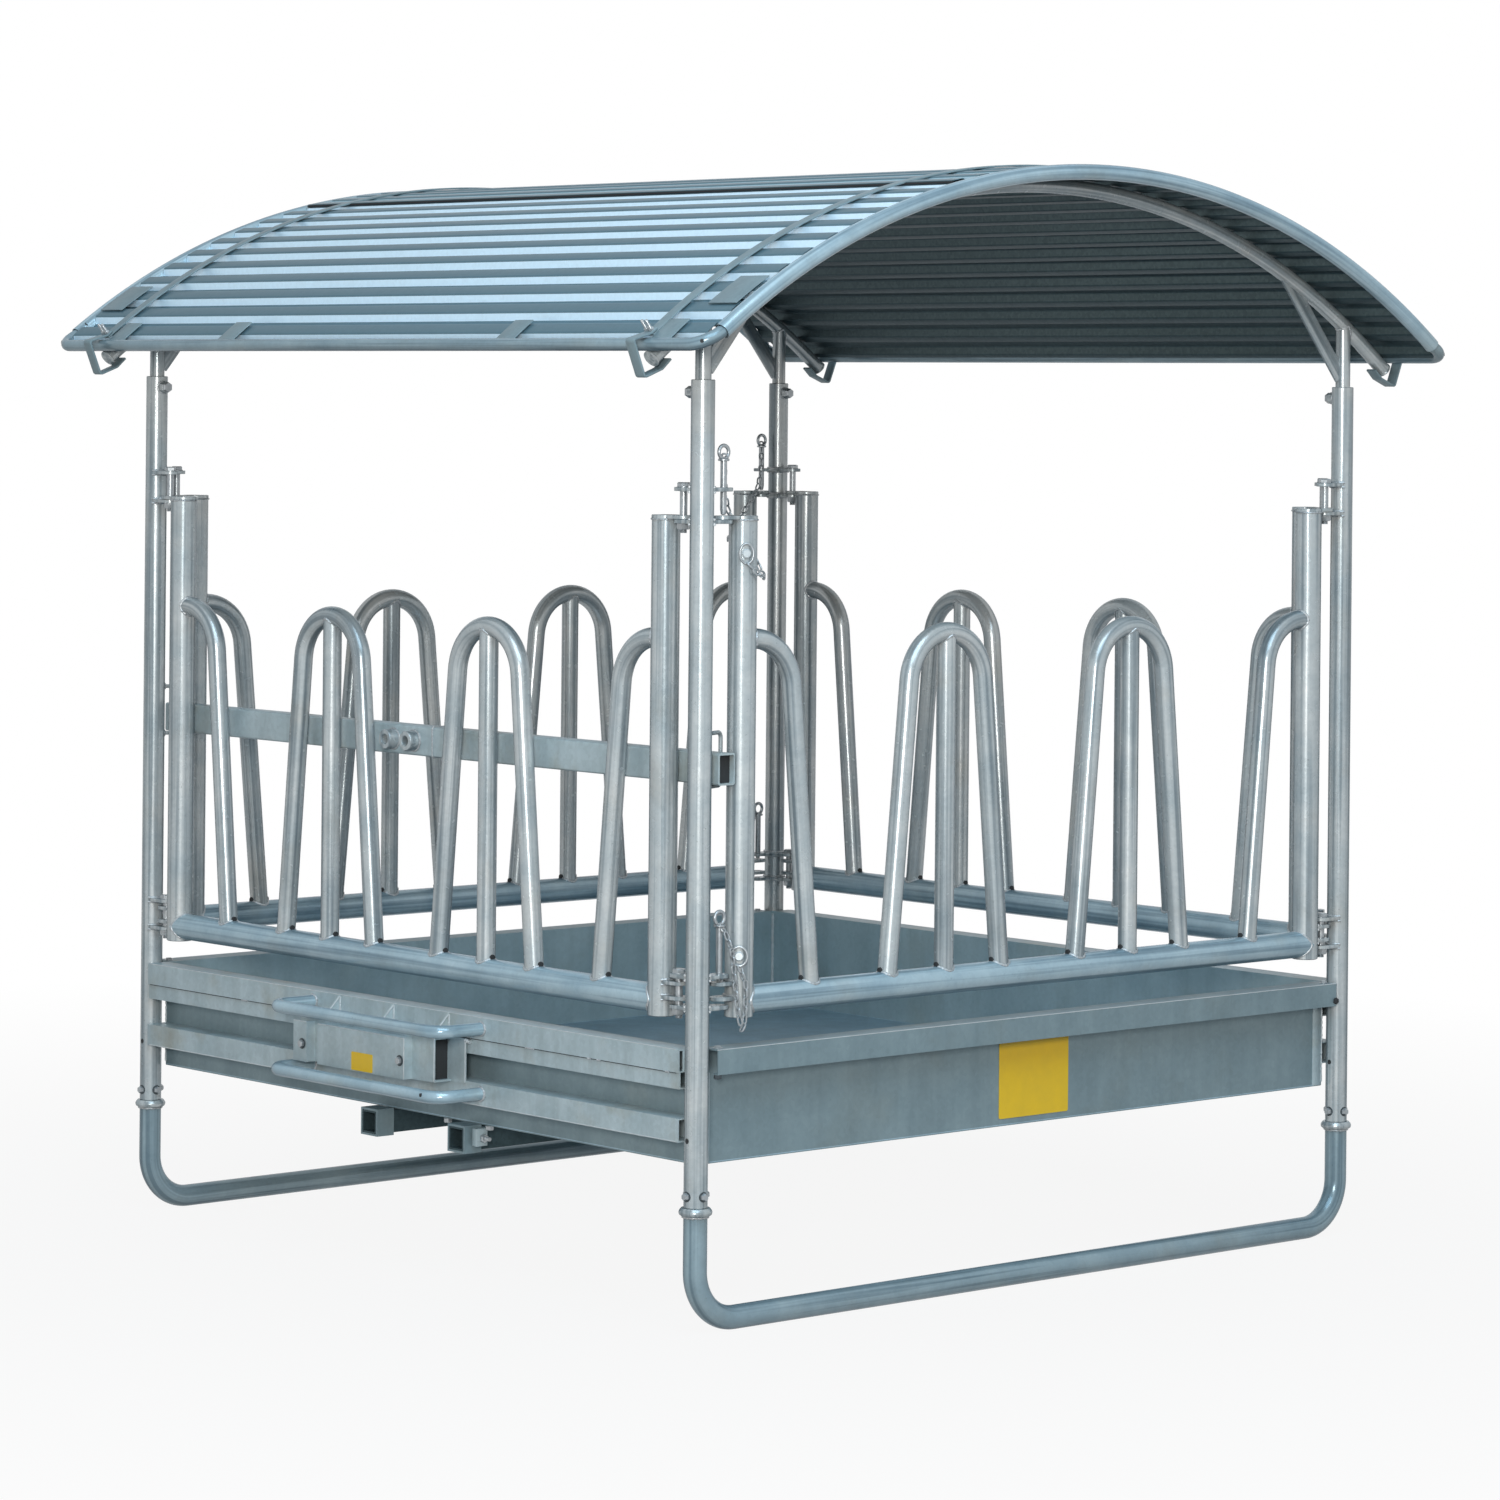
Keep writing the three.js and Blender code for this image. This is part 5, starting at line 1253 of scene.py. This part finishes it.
def truss_side(side):
    """Leg with its guide foot, bead under the arch, and flat brace, at one end of a truss."""
    x, head_x = side * POST_HALF, side * BRACE_HEAD_X
    top, head = (ROOF_CENTRE + math.sqrt(TRUSS_RADIUS**2 - at**2) for at in (x, head_x))
    ring = saddle(
        (x, 0, top), -Z_AXIS, ROOF_TUBE, (x, 0, top), unit((top - ROOF_CENTRE, 0, -x)), ROOF_TUBE
    )
    inset, foot_z = BRACE_FOOT
    foot = np.array([x - side * inset, 0.0, foot_z])
    along = unit(np.array([head_x, 0.0, head]) - foot)
    return [
        bar((x, 0, LEG_FOOT), (x, 0, top), ROOF_TUBE, 32),
        drum((x, 0, LEG_FOOT), Z_AXIS, *GUIDE_FOOT, 1, 32),
        bead(ring, 2.6, seed=x + 1000),
        carried(rounded_rectangle(*BRACE, 1.5, 3), [foot, (head_x, 0, head)], [along] * 2, Y_AXIS),
    ]


def build_trusses():
    """Two trusses: arch, end caps, legs with guide feet and flat braces."""
    points, tangents = roof_arc(TRUSS_RADIUS, np.linspace(-TRUSS_END, TRUSS_END, 72))
    shapes = [carried(circle(ROOF_TUBE, 28), points, tangents, Y_AXIS)]
    for i, way in ((0, -1), (-1, 1)):
        shapes.append(drum(points[i], tangents[i] * way, *END_CAP, 0.8, 32))
    shapes += truss_side(-1) + truss_side(1)
    for name, y in (("front", -POST_HALF), ("back", POST_HALF)):
        piece(f"truss_{name}", [s.moved(0, y) for s in shapes], "roof", [f"roof_truss_{name}"])


def eave_stations():
    """Corners of the eave tube's path on the +X side, with its plane's normal."""
    arc_end = math.asin(END_ARCH_END_X / END_ARCH_RADIUS)
    start = roof_point(END_ARCH_RADIUS, arc_end)
    start = start + 0.3 * np.array([math.cos(arc_end), 0, -math.sin(arc_end)])
    corner = roof_point(EAVE_RADIUS, EAVE_ANGLE)
    near, far = np.array([0, -END_ARCH_Y, 0]), np.array([0, END_ARCH_Y, 0])
    corners = [start + near, corner + near, corner + far, start + far]
    normal = np.cross(unit(corner - start), Y_AXIS)
    return corners, normal


def clip_shapes(y):
    """Bent clip from the eave tube up over the first crest, with a weld on the tube."""
    radius = CREST_RADIUS + 0.6
    a = np.linspace(EAVE_ANGLE - CLIP_LENGTH / radius, EAVE_ANGLE, 8)
    points, tangents = roof_arc(radius + 1.5, a, y)
    strip = carried(rounded_rectangle(3, CLIP_WIDTH, 1, 3), points, tangents, Y_AXIS, finish="tray")
    foot = roof_point(radius + 2.4, EAVE_ANGLE) + y * Y_AXIS
    half = (CLIP_WIDTH / 2 - 2) * Y_AXIS
    return [strip, weld_line(foot - half, foot + half, 20, 2.6, 7)]


def roof_plate(angle, inward):
    """Flat plate that lies on the crests beside an end arch, its middle half a plate inside the
    tube."""
    radius = CREST_RADIUS + 1.2
    length, width, thickness = ROOF_PLATE
    a = angle + np.linspace(-0.5, 0.5, 6) * length / radius
    points, tangents = roof_arc(radius, a, inward * (ROOF_TUBE + width / 2))
    return carried(rounded_rectangle(thickness, width, 1, 3), points, tangents, Y_AXIS, finish="tray")


def build_end_arches():
    """End arches with their roof plates and drain holes, and eave tubes with clips; dark joints lie
    between them."""
    end = math.asin(END_ARCH_END_X / END_ARCH_RADIUS)
    points, tangents = roof_arc(END_ARCH_RADIUS, np.linspace(-end, end, 80))
    for name, y in (("front", -END_ARCH_Y), ("back", END_ARCH_Y)):
        # End arch in the lighter tube finish: painted sky reflection
        shapes = [carried(circle(ROOF_TUBE, 32), points, tangents, Y_AXIS, finish="level")]
        inward = math.copysign(1, -y)
        slant = Z_AXIS + inward * Y_AXIS
        for i, way in ((0, 1), (-1, -1)):
            run = tangents[i] * way
            shapes.append(drum(points[i] + run * 3, -run, ROOF_TUBE - 0.1, 3, 0.2, 32, "dark"))
            # Dark disc that stands for a drain hole: painted shade
            shapes.append(drum(points[i] + run * 22 + slant * ROOF_TUBE * 0.66, slant, 5, 2, 0.4, 14, "dark"))
            shapes.append(roof_plate(-way * CLIP_ANGLE, inward))
        piece(f"end_arch_tube_{name}", [s.moved(0, y) for s in shapes], "roof", [f"end_arch_{name}"])
    corners, normal = eave_stations()
    # Eave tube in the darker tube finish: painted shade
    shapes = [bent_bar(corners, EAVE_BEND, EAVE_TUBE, normal, 28, 18, "cool")]
    shapes += [shape for y in CLIP_PLACES for shape in clip_shapes(y)]
    path, _ = rounded_path(corners, EAVE_BEND, 18)
    # Dark discs that stand for drain holes in the eave tube: painted shade
    for i, way in ((9, -1), (27, 1)):
        out = unit(np.array([0.8, way * 0.8, 0.1]))
        shapes.append(drum(path[i] + out * (EAVE_TUBE - 1.2), out, 4, 1.8, 0.3, 16, "dark"))
    for name, turn in (("right", 0), ("left", 180)):
        placed = [s.moved(turn=turn) for s in shapes]
        piece(f"eave_{name}", placed, "roof", [f"eave_tube_{name}"])


def sheet_profile(start, end, lift):
    """Trapezoid ribs over whole pitches: angle from the top against the rise of the rib."""
    valley = 0.3
    ribs = np.arange(start, end)[:, None]
    shares = np.array([valley / 2, valley / 2 + 0.15, valley / 2 + 0.55, 1 - valley / 2])
    pitch = np.concatenate([[start], (ribs + shares).ravel(), [end]])
    rise = np.concatenate([[0], np.tile([0, 1, 1, 0], len(ribs)), [0]])
    angle = pitch * PITCH
    radius = VALLEY_RADIUS + lift + rise * RIB_DEPTH
    return np.stack([radius * np.sin(angle), ROOF_CENTRE + radius * np.cos(angle)], axis=1)


def sheet_edges(start, end, lift, trim, cut):
    """Lower and upper line of a sheet's section: the profile, and the same line a sheet's thickness
    further out. A cut drops all before an angle and raises the new edge, by a height that fades with
    the exponential of the distance from it."""
    low = filleted(sheet_profile(start, end, lift), 2.6)
    if cut is not None:
        spot = np.arctan2(low[:, 0], low[:, 1] - ROOF_CENTRE)
        low, spot = low[spot > cut], spot[spot > cut]
        rise = 1 + LAP_RISE / VALLEY_RADIUS * np.exp((cut - spot) * VALLEY_RADIUS / LAP_FADE)
        low = (low - (0, ROOF_CENTRE)) * rise[:, None] + (0, ROOF_CENTRE)
    along = unit(np.gradient(low, axis=0))
    high = low + SHEET * np.stack([-along[:, 1], along[:, 0]], axis=1)
    keep = np.abs(low[:, 0]) <= trim
    return low[keep], high[keep]


def spread(edge, rows):
    """A section's line repeated at equal steps of Y from one end arch to the other."""
    grid = np.empty((rows, len(edge), 3))
    grid[:, :, 0], grid[:, :, 2] = edge[:, 0], edge[:, 1]
    grid[:, :, 1] = np.linspace(-SHEET_HALF_WIDTH, SHEET_HALF_WIDTH, rows)[:, None]
    return grid.reshape(-1, 3)


def sheet_shapes(start, end, lift, trim, cut=None, flank_finish="flank"):
    """Thin shell between the two lines of a sheet's section: quads above and below, with a finish each for
    crests and valleys and for the flanks between them, and a rim on all four sides. On top these finishes are
    painted reflections, dark on the flats and bright on the flanks; below they are painted shade."""
    low, high = sheet_edges(start, end, lift, trim, cut)
    rows, count = 13, len(high)
    top, bottom = spread(high, rows), spread(low, rows)
    corner = np.arange(rows - 1)[:, None] * count + np.arange(count - 1)[None, :]
    quads = np.stack([corner, corner + 1, corner + count + 1, corner + count], axis=-1)
    radius = np.hypot(high[:, 0], high[:, 1] - ROOF_CENTRE)
    rise = np.abs((radius[1:] + radius[:-1]) / 2 - VALLEY_RADIUS - lift - (RIB_DEPTH + SHEET) / 2)
    flat = rise > RIB_DEPTH / 2 - 2.5
    shapes = []
    for points, part, turn, finish in (
        (top, flat, 1, "crest"), (top, ~flat, 1, flank_finish),
        (bottom, flat, -1, "under"), (bottom, ~flat, -1, "inner flank"),
    ):
        shapes.append(Shape(points, quads[:, part, ::turn].reshape(-1, 4).tolist(), finish))
    shift = rows * count
    k = np.arange(count - 1)
    m = np.arange(rows - 1) * count
    n = m + count - 1
    last = (rows - 1) * count + k
    sides = (
        (k, k + shift, k + shift + 1, k + 1),
        (last, last + 1, last + shift + 1, last + shift),
        (m, m + count, m + count + shift, m + shift),
        (n, n + shift, n + count + shift, n + count),
    )
    rim = np.concatenate([np.stack(side, axis=-1) for side in sides])
    shapes.append(Shape(np.concatenate([top, bottom]), rim.tolist(), "crest"))
    return shapes


def build_roof_sheets():
    """Two corrugated sheets that lap beside the ridge, with a dark line under the lap's edge that is a
    painted shadow.
    """
    trim = VALLEY_RADIUS * math.sin(RIBS * PITCH) + 30
    left = sheet_shapes(-RIBS, LAP_RIB + 1, 0, trim)
    cut = (LAP_RIB + 0.29) * PITCH
    right = sheet_shapes(LAP_RIB, RIBS, LAP_LIFT, trim, cut, "high flank")
    middle = roof_point(VALLEY_RADIUS + RIB_DEPTH + SHEET + LAP_RISE / 2, cut)
    across_x, up = middle[0], middle[2] - ROOF_CENTRE
    outline = np.array([(-3, -1), (3, -1), (3, 1), (-3, 1)]) * (1, LAP_RISE / 2)
    half = SHEET_HALF_WIDTH - 2
    run, out = unit((up, 0, -across_x)), unit((across_x, 0, up))
    # Painted shadow under the lap's edge
    left.append(plate(outline, -half, half, middle, run, out, "dark"))
    piece("roof_skin_left", left, "roof", ["roof_sheet_left"], sharp=60)
    piece("roof_skin_right", right, "roof", ["roof_sheet_right"], sharp=60)


def build_straps():
    """Two straps over the ribs, four tension hooks with rods and nuts."""
    points, tangents = roof_arc(CREST_RADIUS + 2.7, np.linspace(-STRAP_END, STRAP_END, 96))
    width, thickness = STRAP
    strap = carried(rounded_rectangle(thickness, width, 1.2, 3), points, tangents, Y_AXIS, finish="tray")
    hook = hook_shapes()
    for name, y in (("front", -POST_HALF), ("back", POST_HALF)):
        piece(f"strap_{name}", [strap.moved(0, y)], "roof", [f"roof_strap_{name}"])
        for side, turn in (("right", 0), ("left", 180)):
            placed = [s.moved(0, y, 0, turn) for s in hook]
            piece(f"hook_{name}_{side}", placed, "roof", [f"tension_hook_{name}_{side}"])


def hook_shapes():
    """Tension hook at a truss's +X end: strip over the strap's end, out past the eave, down and back
    under the arch, with two threaded rods and nuts."""
    eave = roof_point(EAVE_RADIUS, EAVE_ANGLE)
    radius = CREST_RADIUS + 2 * 0.3 + STRAP[1] + HOOK_THICKNESS / 2 + 1.0
    under = TRUSS_RADIUS - ROOF_TUBE - 6 - HOOK_THICKNESS / 2
    corners = [
        roof_point(radius, STRAP_END - 16 / radius),
        roof_point(radius, STRAP_END),
        eave + np.array([43, 0, 9]),
        eave + np.array([12, 0, -67]),
        roof_point(under - 2, TRUSS_END),
        roof_point(under, TRUSS_END - 30 / under),
    ]
    points, tangents = rounded_path(corners, HOOK_BEND, 8)
    section = rounded_rectangle(HOOK_THICKNESS, HOOK_WIDTH, 1.2, 3)
    shapes = [carried(section, points, tangents, Y_AXIS, finish="tray")]
    rise = unit(roof_point(radius, STRAP_END) - roof_point(0, 0))
    for y in (-HOOK_WIDTH / 4, HOOK_WIDTH / 4):
        base = roof_point(radius + 2, STRAP_END - 6 / radius) + y * Y_AXIS
        shapes.append(threaded_rod(base, rise, *HOOK_ROD))
        shapes.append(hex_bolt(base, rise, *HOOK_NUT))
    return shapes


# Plates, stage and settings


def build_plates():
    """Bare yellow plates on the front wall and on the hitch cover."""
    outline = rounded_rectangle(*FRONT_PLATE, 5, 6)
    front = plate(outline, 0.4, 1.6, FRONT_PLATE_PLACE, X_AXIS, Z_AXIS, "plate")
    piece("plate_front", [front], "base")
    outline = rounded_rectangle(*COVER_PLATE, 3, 5)
    cover = plate(outline, 0.3, 1.3, COVER_PLATE_PLACE, -Y_AXIS, Z_AXIS, "plate")
    piece("plate_hitch", [cover], "base")


def mixed_shaders(tree, share, first, second, output):
    """Mix of two shaders by a share, fed to an output."""
    mix = add_node(tree, "ShaderNodeMixShader")
    for socket, source in zip(mix.inputs, (share, first.outputs[0], second.outputs[0])):
        tree.links.new(source, socket)
    out = add_node(tree, output)
    tree.links.new(mix.outputs[0], out.inputs["Surface"])


def white_world(strength):
    """World that is white to the camera and in reflections, and a dim pale blue as a light."""
    world = bpy.data.worlds.new("studio")
    bpy.context.scene.world = world
    world.use_nodes = True
    tree = world.node_tree
    tree.nodes.clear()
    rays = add_node(tree, "ShaderNodeLightPath").outputs
    seen = calculated(tree, "MAXIMUM", rays["Is Camera Ray"], rays["Is Glossy Ray"])
    seen = calculated(tree, "MAXIMUM", seen, rays["Is Transmission Ray"])
    soft = add_node(tree, "ShaderNodeBackground", {"Color": (0.66, 0.86, 1, 1), "Strength": strength})
    white = add_node(tree, "ShaderNodeBackground", {"Color": (1, 1, 1, 1), "Strength": 1.0})
    mixed_shaders(tree, seen, soft, white, "ShaderNodeOutputWorld")


def floor_material(colour, glow):
    """Pale floor that keeps the shadow near the feeder and turns white further out."""
    material, tree, _ = new_material("pale floor")
    tree.nodes.clear()
    where = add_node(tree, "ShaderNodeTexCoord").outputs["Object"]
    distance = add_node(tree, "ShaderNodeVectorMath", operation="LENGTH")
    tree.links.new(where, distance.inputs[0])
    values = {"From Min": 1.2, "From Max": 5.0, "To Min": glow, "To Max": 1.0}
    fade = add_node(tree, "ShaderNodeMapRange", values)
    tree.links.new(distance.outputs["Value"], fade.inputs["Value"])
    rays = add_node(tree, "ShaderNodeLightPath").outputs
    seen = calculated(tree, "MAXIMUM", rays["Is Camera Ray"], rays["Is Glossy Ray"])
    share = calculated(tree, "MULTIPLY", seen, fade.outputs["Result"])
    diffuse = add_node(tree, "ShaderNodeBsdfDiffuse", {"Color": (*colour, 1)})
    light = add_node(tree, "ShaderNodeEmission", {"Color": (1, 1, 1, 1), "Strength": 1.0})
    mixed_shaders(tree, share, diffuse, light, "ShaderNodeOutputMaterial")
    return material


def area_lamp(name, place, target, size, power, colour):
    """Square soft lamp at a place, turned towards a target."""
    data = bpy.data.lights.new(name, "AREA")
    data.size = size
    data.energy = power
    data.color = colour
    lamp = bpy.data.objects.new(name, data)
    bpy.context.scene.collection.objects.link(lamp)
    lamp.location = place
    run = np.asarray(target, float) - np.asarray(place, float)
    yaw = math.atan2(run[1], run[0]) - math.pi / 2
    tilt = math.pi / 2 + math.atan2(run[2], math.hypot(run[0], run[1]))
    lamp.rotation_euler = (tilt, 0, yaw)


def build_stage():
    """Floor, world, lamps and the camera at the photograph's angle."""
    stage = bpy.context.scene.feeder_stage
    half = 30.0
    mesh = bpy.data.meshes.new("floor")
    corners = [(-half, -half, 0), (half, -half, 0), (half, half, 0), (-half, half, 0)]
    mesh.from_pydata(corners, [], [(0, 1, 2, 3)])
    mesh.materials.append(floor_material(tuple(stage.floor_colour), stage.floor_glow))
    floor = bpy.data.objects.new("floor", mesh)
    bpy.context.scene.collection.objects.link(floor)
    white_world(stage.sky_strength)
    area_lamp("key", (-7.9, -7.8, 2.8), (0, 0, 1.1), 2.0, stage.key_power, (1, 0.97, 0.925))
    area_lamp("sky", (-3.2, -4.4, 6.6), (0, 0, 0.5), 5, stage.top_power, (0.64, 0.85, 1))
    data = bpy.data.cameras.new("camera")
    data.sensor_width = 36
    data.lens = stage.lens
    data.shift_y = -0.237
    data.clip_end = 200
    camera = bpy.data.objects.new("camera", data)
    bpy.context.scene.collection.objects.link(camera)
    camera.location = tuple(stage.camera_place)
    camera.rotation_euler = (math.pi / 2, stage.camera_roll, -stage.camera_yaw)
    bpy.context.scene.camera = camera
    bpy.context.scene.view_settings.view_transform = "Standard"


def colour_setting(name, description, default):
    return bpy.props.FloatVectorProperty(
        name=name, description=description, subtype="COLOR", size=3, min=0, max=1, default=default
    )


class FeederFinishes(bpy.types.PropertyGroup):
    """Colours and grain of the finishes."""

    tube_light: colour_setting("Tube light", "Bright patches of the tubes", (0.54, 0.56, 0.56))
    tube_shade: colour_setting("Tube shade", "Dull patches of the tubes", (0.385, 0.435, 0.455))
    # Painted shade: darker colours of the tube finish for skids and eaves
    cool_light: colour_setting("Cool light", "Bright patches of skids and eaves", (0.32, 0.41, 0.45))
    cool_shade: colour_setting("Cool shade", "Dull patches of skids and eaves", (0.24, 0.325, 0.37))
    # Painted sky reflection: lighter, bluer colours of the tube finish for level tubes
    level_light: colour_setting("Level light", "Bright patches of the level tubes", (0.45, 0.57, 0.63))
    level_shade: colour_setting("Level shade", "Dull patches of the level tubes", (0.33, 0.45, 0.52))
    sheet_light: colour_setting("Sheet light", "Bright patches of the rails", (0.50, 0.59, 0.62))
    sheet_shade: colour_setting("Sheet shade", "Dull patches of the rails", (0.4, 0.49, 0.52))
    tray_light: colour_setting("Tray light", "Bright patches of the tray", (0.25, 0.33, 0.36))
    tray_shade: colour_setting("Tray shade", "Dull patches of the tray", (0.21, 0.285, 0.315))
    # Painted sky reflection on the tray's floor
    tray_floor_painted_reflection: colour_setting("Tray floor", "Floor inside the tray", (0.42, 0.58, 0.68))
    # Painted reflections on the roof's top: dark flats, bright flanks, dimmer flanks on the right sheet
    roof_crest: colour_setting("Roof flats", "Crests and valleys of the roof", (0.112, 0.195, 0.238))
    roof_flank: colour_setting("Roof flanks", "Flanks of the left sheet's ribs", (0.7, 0.88, 1.0))
    roof_high: colour_setting("Roof high flanks", "Flanks of the right sheet's ribs", (0.36, 0.5, 0.57))
    # Painted shade under the roof
    roof_under: colour_setting("Roof underside", "Flats of the roof seen from below", (0.054, 0.085, 0.096))
    roof_inner: colour_setting("Roof inner flanks", "Flanks of the ribs seen from below", (0.1, 0.14, 0.15))
    zinc: colour_setting("Zinc", "Bolts, pins and chains", (0.4, 0.43, 0.45))
    weld: colour_setting("Weld", "Weld beads", (0.5, 0.53, 0.55))
    # Painted highlight on sheet edges; also the colour of fresh welds
    edge: colour_setting("Edge", "Bright edges and fresh welds", (0.58, 0.63, 0.65))
    plate: colour_setting("Plate", "Bare plates", (0.88, 0.56, 0.02))
    spangle: bpy.props.FloatProperty(
        name="Spangle", description="Size of the zinc crystals", default=0.007, unit="LENGTH"
    )


class FeederSizes(bpy.types.PropertyGroup):
    """Sizes of the small parts."""

    link_length: bpy.props.FloatProperty(
        name="Link length", description="Length of a chain link", default=0.022, unit="LENGTH"
    )
    link_width: bpy.props.FloatProperty(
        name="Link width", description="Width of a chain link", default=0.014, unit="LENGTH"
    )
    link_wire: bpy.props.FloatProperty(
        name="Link wire", description="Radius of the chain's wire", default=0.0021, unit="LENGTH"
    )


class FeederStage(bpy.types.PropertyGroup):
    """Camera, lamps and floor."""

    lens: bpy.props.FloatProperty(name="Lens", description="Focal length in millimetres", default=117.9)
    camera_place: bpy.props.FloatVectorProperty(
        name="Camera place", description="Where the camera stands", size=3, subtype="TRANSLATION",
        unit="LENGTH", default=(-7.582, -8.598, 1.931)
    )
    camera_yaw: bpy.props.FloatProperty(
        name="Camera yaw", description="Turn of the camera from +Y towards +X", subtype="ANGLE",
        default=math.radians(41.46)
    )
    camera_roll: bpy.props.FloatProperty(
        name="Camera roll", description="Roll of the camera", subtype="ANGLE", default=math.radians(-0.54)
    )
    floor_colour: colour_setting("Floor colour", "Colour of the floor", (0.25, 0.26, 0.27))
    floor_glow: bpy.props.FloatProperty(
        name="Floor glow", description="Share of plain white near the feeder", default=0.91, min=0, max=1
    )
    sky_strength: bpy.props.FloatProperty(
        name="Sky strength", description="Strength of the world as a light", default=0.12, min=0
    )
    key_power: bpy.props.FloatProperty(name="Key power", description="Power of the key lamp", default=620)
    top_power: bpy.props.FloatProperty(name="Top power", description="Power of the lamp above", default=410)


class FEEDER_OT_posts(bpy.types.Operator):
    """Make the corner posts"""

    bl_idname = "feeder.posts"
    bl_label = "Corner posts"

    def execute(self, context):
        build_posts()
        return {"FINISHED"}


class FEEDER_OT_skids(bpy.types.Operator):
    """Make the skids"""

    bl_idname = "feeder.skids"
    bl_label = "Skids"

    def execute(self, context):
        build_skids()
        return {"FINISHED"}


class FEEDER_OT_trough(bpy.types.Operator):
    """Finish the trough and make its fittings"""

    bl_idname = "feeder.trough"
    bl_label = "Trough"

    def execute(self, context):
        build_trough()
        return {"FINISHED"}


class FEEDER_OT_hitch(bpy.types.Operator):
    """Finish the hitch and make its bumper tubes and fittings"""

    bl_idname = "feeder.hitch"
    bl_label = "Hitch"

    def execute(self, context):
        build_hitch()
        return {"FINISHED"}


class FEEDER_OT_carrying_bar(bpy.types.Operator):
    """Make the carrying bar"""

    bl_idname = "feeder.carrying_bar"
    bl_label = "Carrying bar"

    def execute(self, context):
        build_carrying_bar()
        return {"FINISHED"}


class FEEDER_OT_panels(bpy.types.Operator):
    """Make the four feeding panels"""

    bl_idname = "feeder.panels"
    bl_label = "Feeding panels"

    def execute(self, context):
        build_panels()
        return {"FINISHED"}


class FEEDER_OT_latches(bpy.types.Operator):
    """Make the latch pins and their chains"""

    bl_idname = "feeder.latches"
    bl_label = "Latches"

    def execute(self, context):
        build_latch_pins()
        build_chains()
        return {"FINISHED"}


class FEEDER_OT_roof_frame(bpy.types.Operator):
    """Make the trusses, end arches and eave tubes"""

    bl_idname = "feeder.roof_frame"
    bl_label = "Roof frame"

    def execute(self, context):
        build_trusses()
        build_end_arches()
        return {"FINISHED"}


class FEEDER_OT_roof_skin(bpy.types.Operator):
    """Make the roof sheets, straps and tension hooks"""

    bl_idname = "feeder.roof_skin"
    bl_label = "Roof skin"

    def execute(self, context):
        build_roof_sheets()
        build_straps()
        return {"FINISHED"}


class FEEDER_OT_plates(bpy.types.Operator):
    """Make the bare yellow plates"""

    bl_idname = "feeder.plates"
    bl_label = "Plates"

    def execute(self, context):
        build_plates()
        return {"FINISHED"}


class FEEDER_OT_stage(bpy.types.Operator):
    """Make the floor, lamps and camera"""

    bl_idname = "feeder.stage"
    bl_label = "Stage"

    def execute(self, context):
        build_stage()
        return {"FINISHED"}


OPERATORS = (
    FEEDER_OT_posts,
    FEEDER_OT_skids,
    FEEDER_OT_trough,
    FEEDER_OT_hitch,
    FEEDER_OT_carrying_bar,
    FEEDER_OT_panels,
    FEEDER_OT_latches,
    FEEDER_OT_roof_frame,
    FEEDER_OT_roof_skin,
    FEEDER_OT_plates,
    FEEDER_OT_stage,
)


class FEEDER_PT_panel(bpy.types.Panel):
    """Lists the pieces of the feeder"""

    bl_label = "Hay feeder"
    bl_idname = "FEEDER_PT_panel"
    bl_space_type = "VIEW_3D"
    bl_region_type = "UI"
    bl_category = "Feeder"

    def draw(self, context):
        for operator in OPERATORS:
            self.layout.operator(operator.bl_idname)


GROUPS = {
    "feeder_finishes": FeederFinishes,
    "feeder_sizes": FeederSizes,
    "feeder_stage": FeederStage,
}


def register():
    for group in GROUPS.values():
        bpy.utils.register_class(group)
    for name, group in GROUPS.items():
        setattr(bpy.types.Scene, name, bpy.props.PointerProperty(type=group))
    for operator in OPERATORS:
        bpy.utils.register_class(operator)
    bpy.utils.register_class(FEEDER_PT_panel)


def unregister():
    bpy.utils.unregister_class(FEEDER_PT_panel)
    for operator in reversed(OPERATORS):
        bpy.utils.unregister_class(operator)
    for name, group in GROUPS.items():
        delattr(bpy.types.Scene, name)
        bpy.utils.unregister_class(group)


def main():
    """Builds everything in order."""
    register()
    FINISHES.update(make_finishes())
    bpy.ops.feeder.posts()
    bpy.ops.feeder.skids()
    bpy.ops.feeder.trough()
    bpy.ops.feeder.hitch()
    bpy.ops.feeder.carrying_bar()
    bpy.ops.feeder.panels()
    bpy.ops.feeder.latches()
    bpy.ops.feeder.roof_frame()
    bpy.ops.feeder.roof_skin()
    bpy.ops.feeder.plates()
    bpy.ops.feeder.stage()


if __name__ == "__main__":
    main()
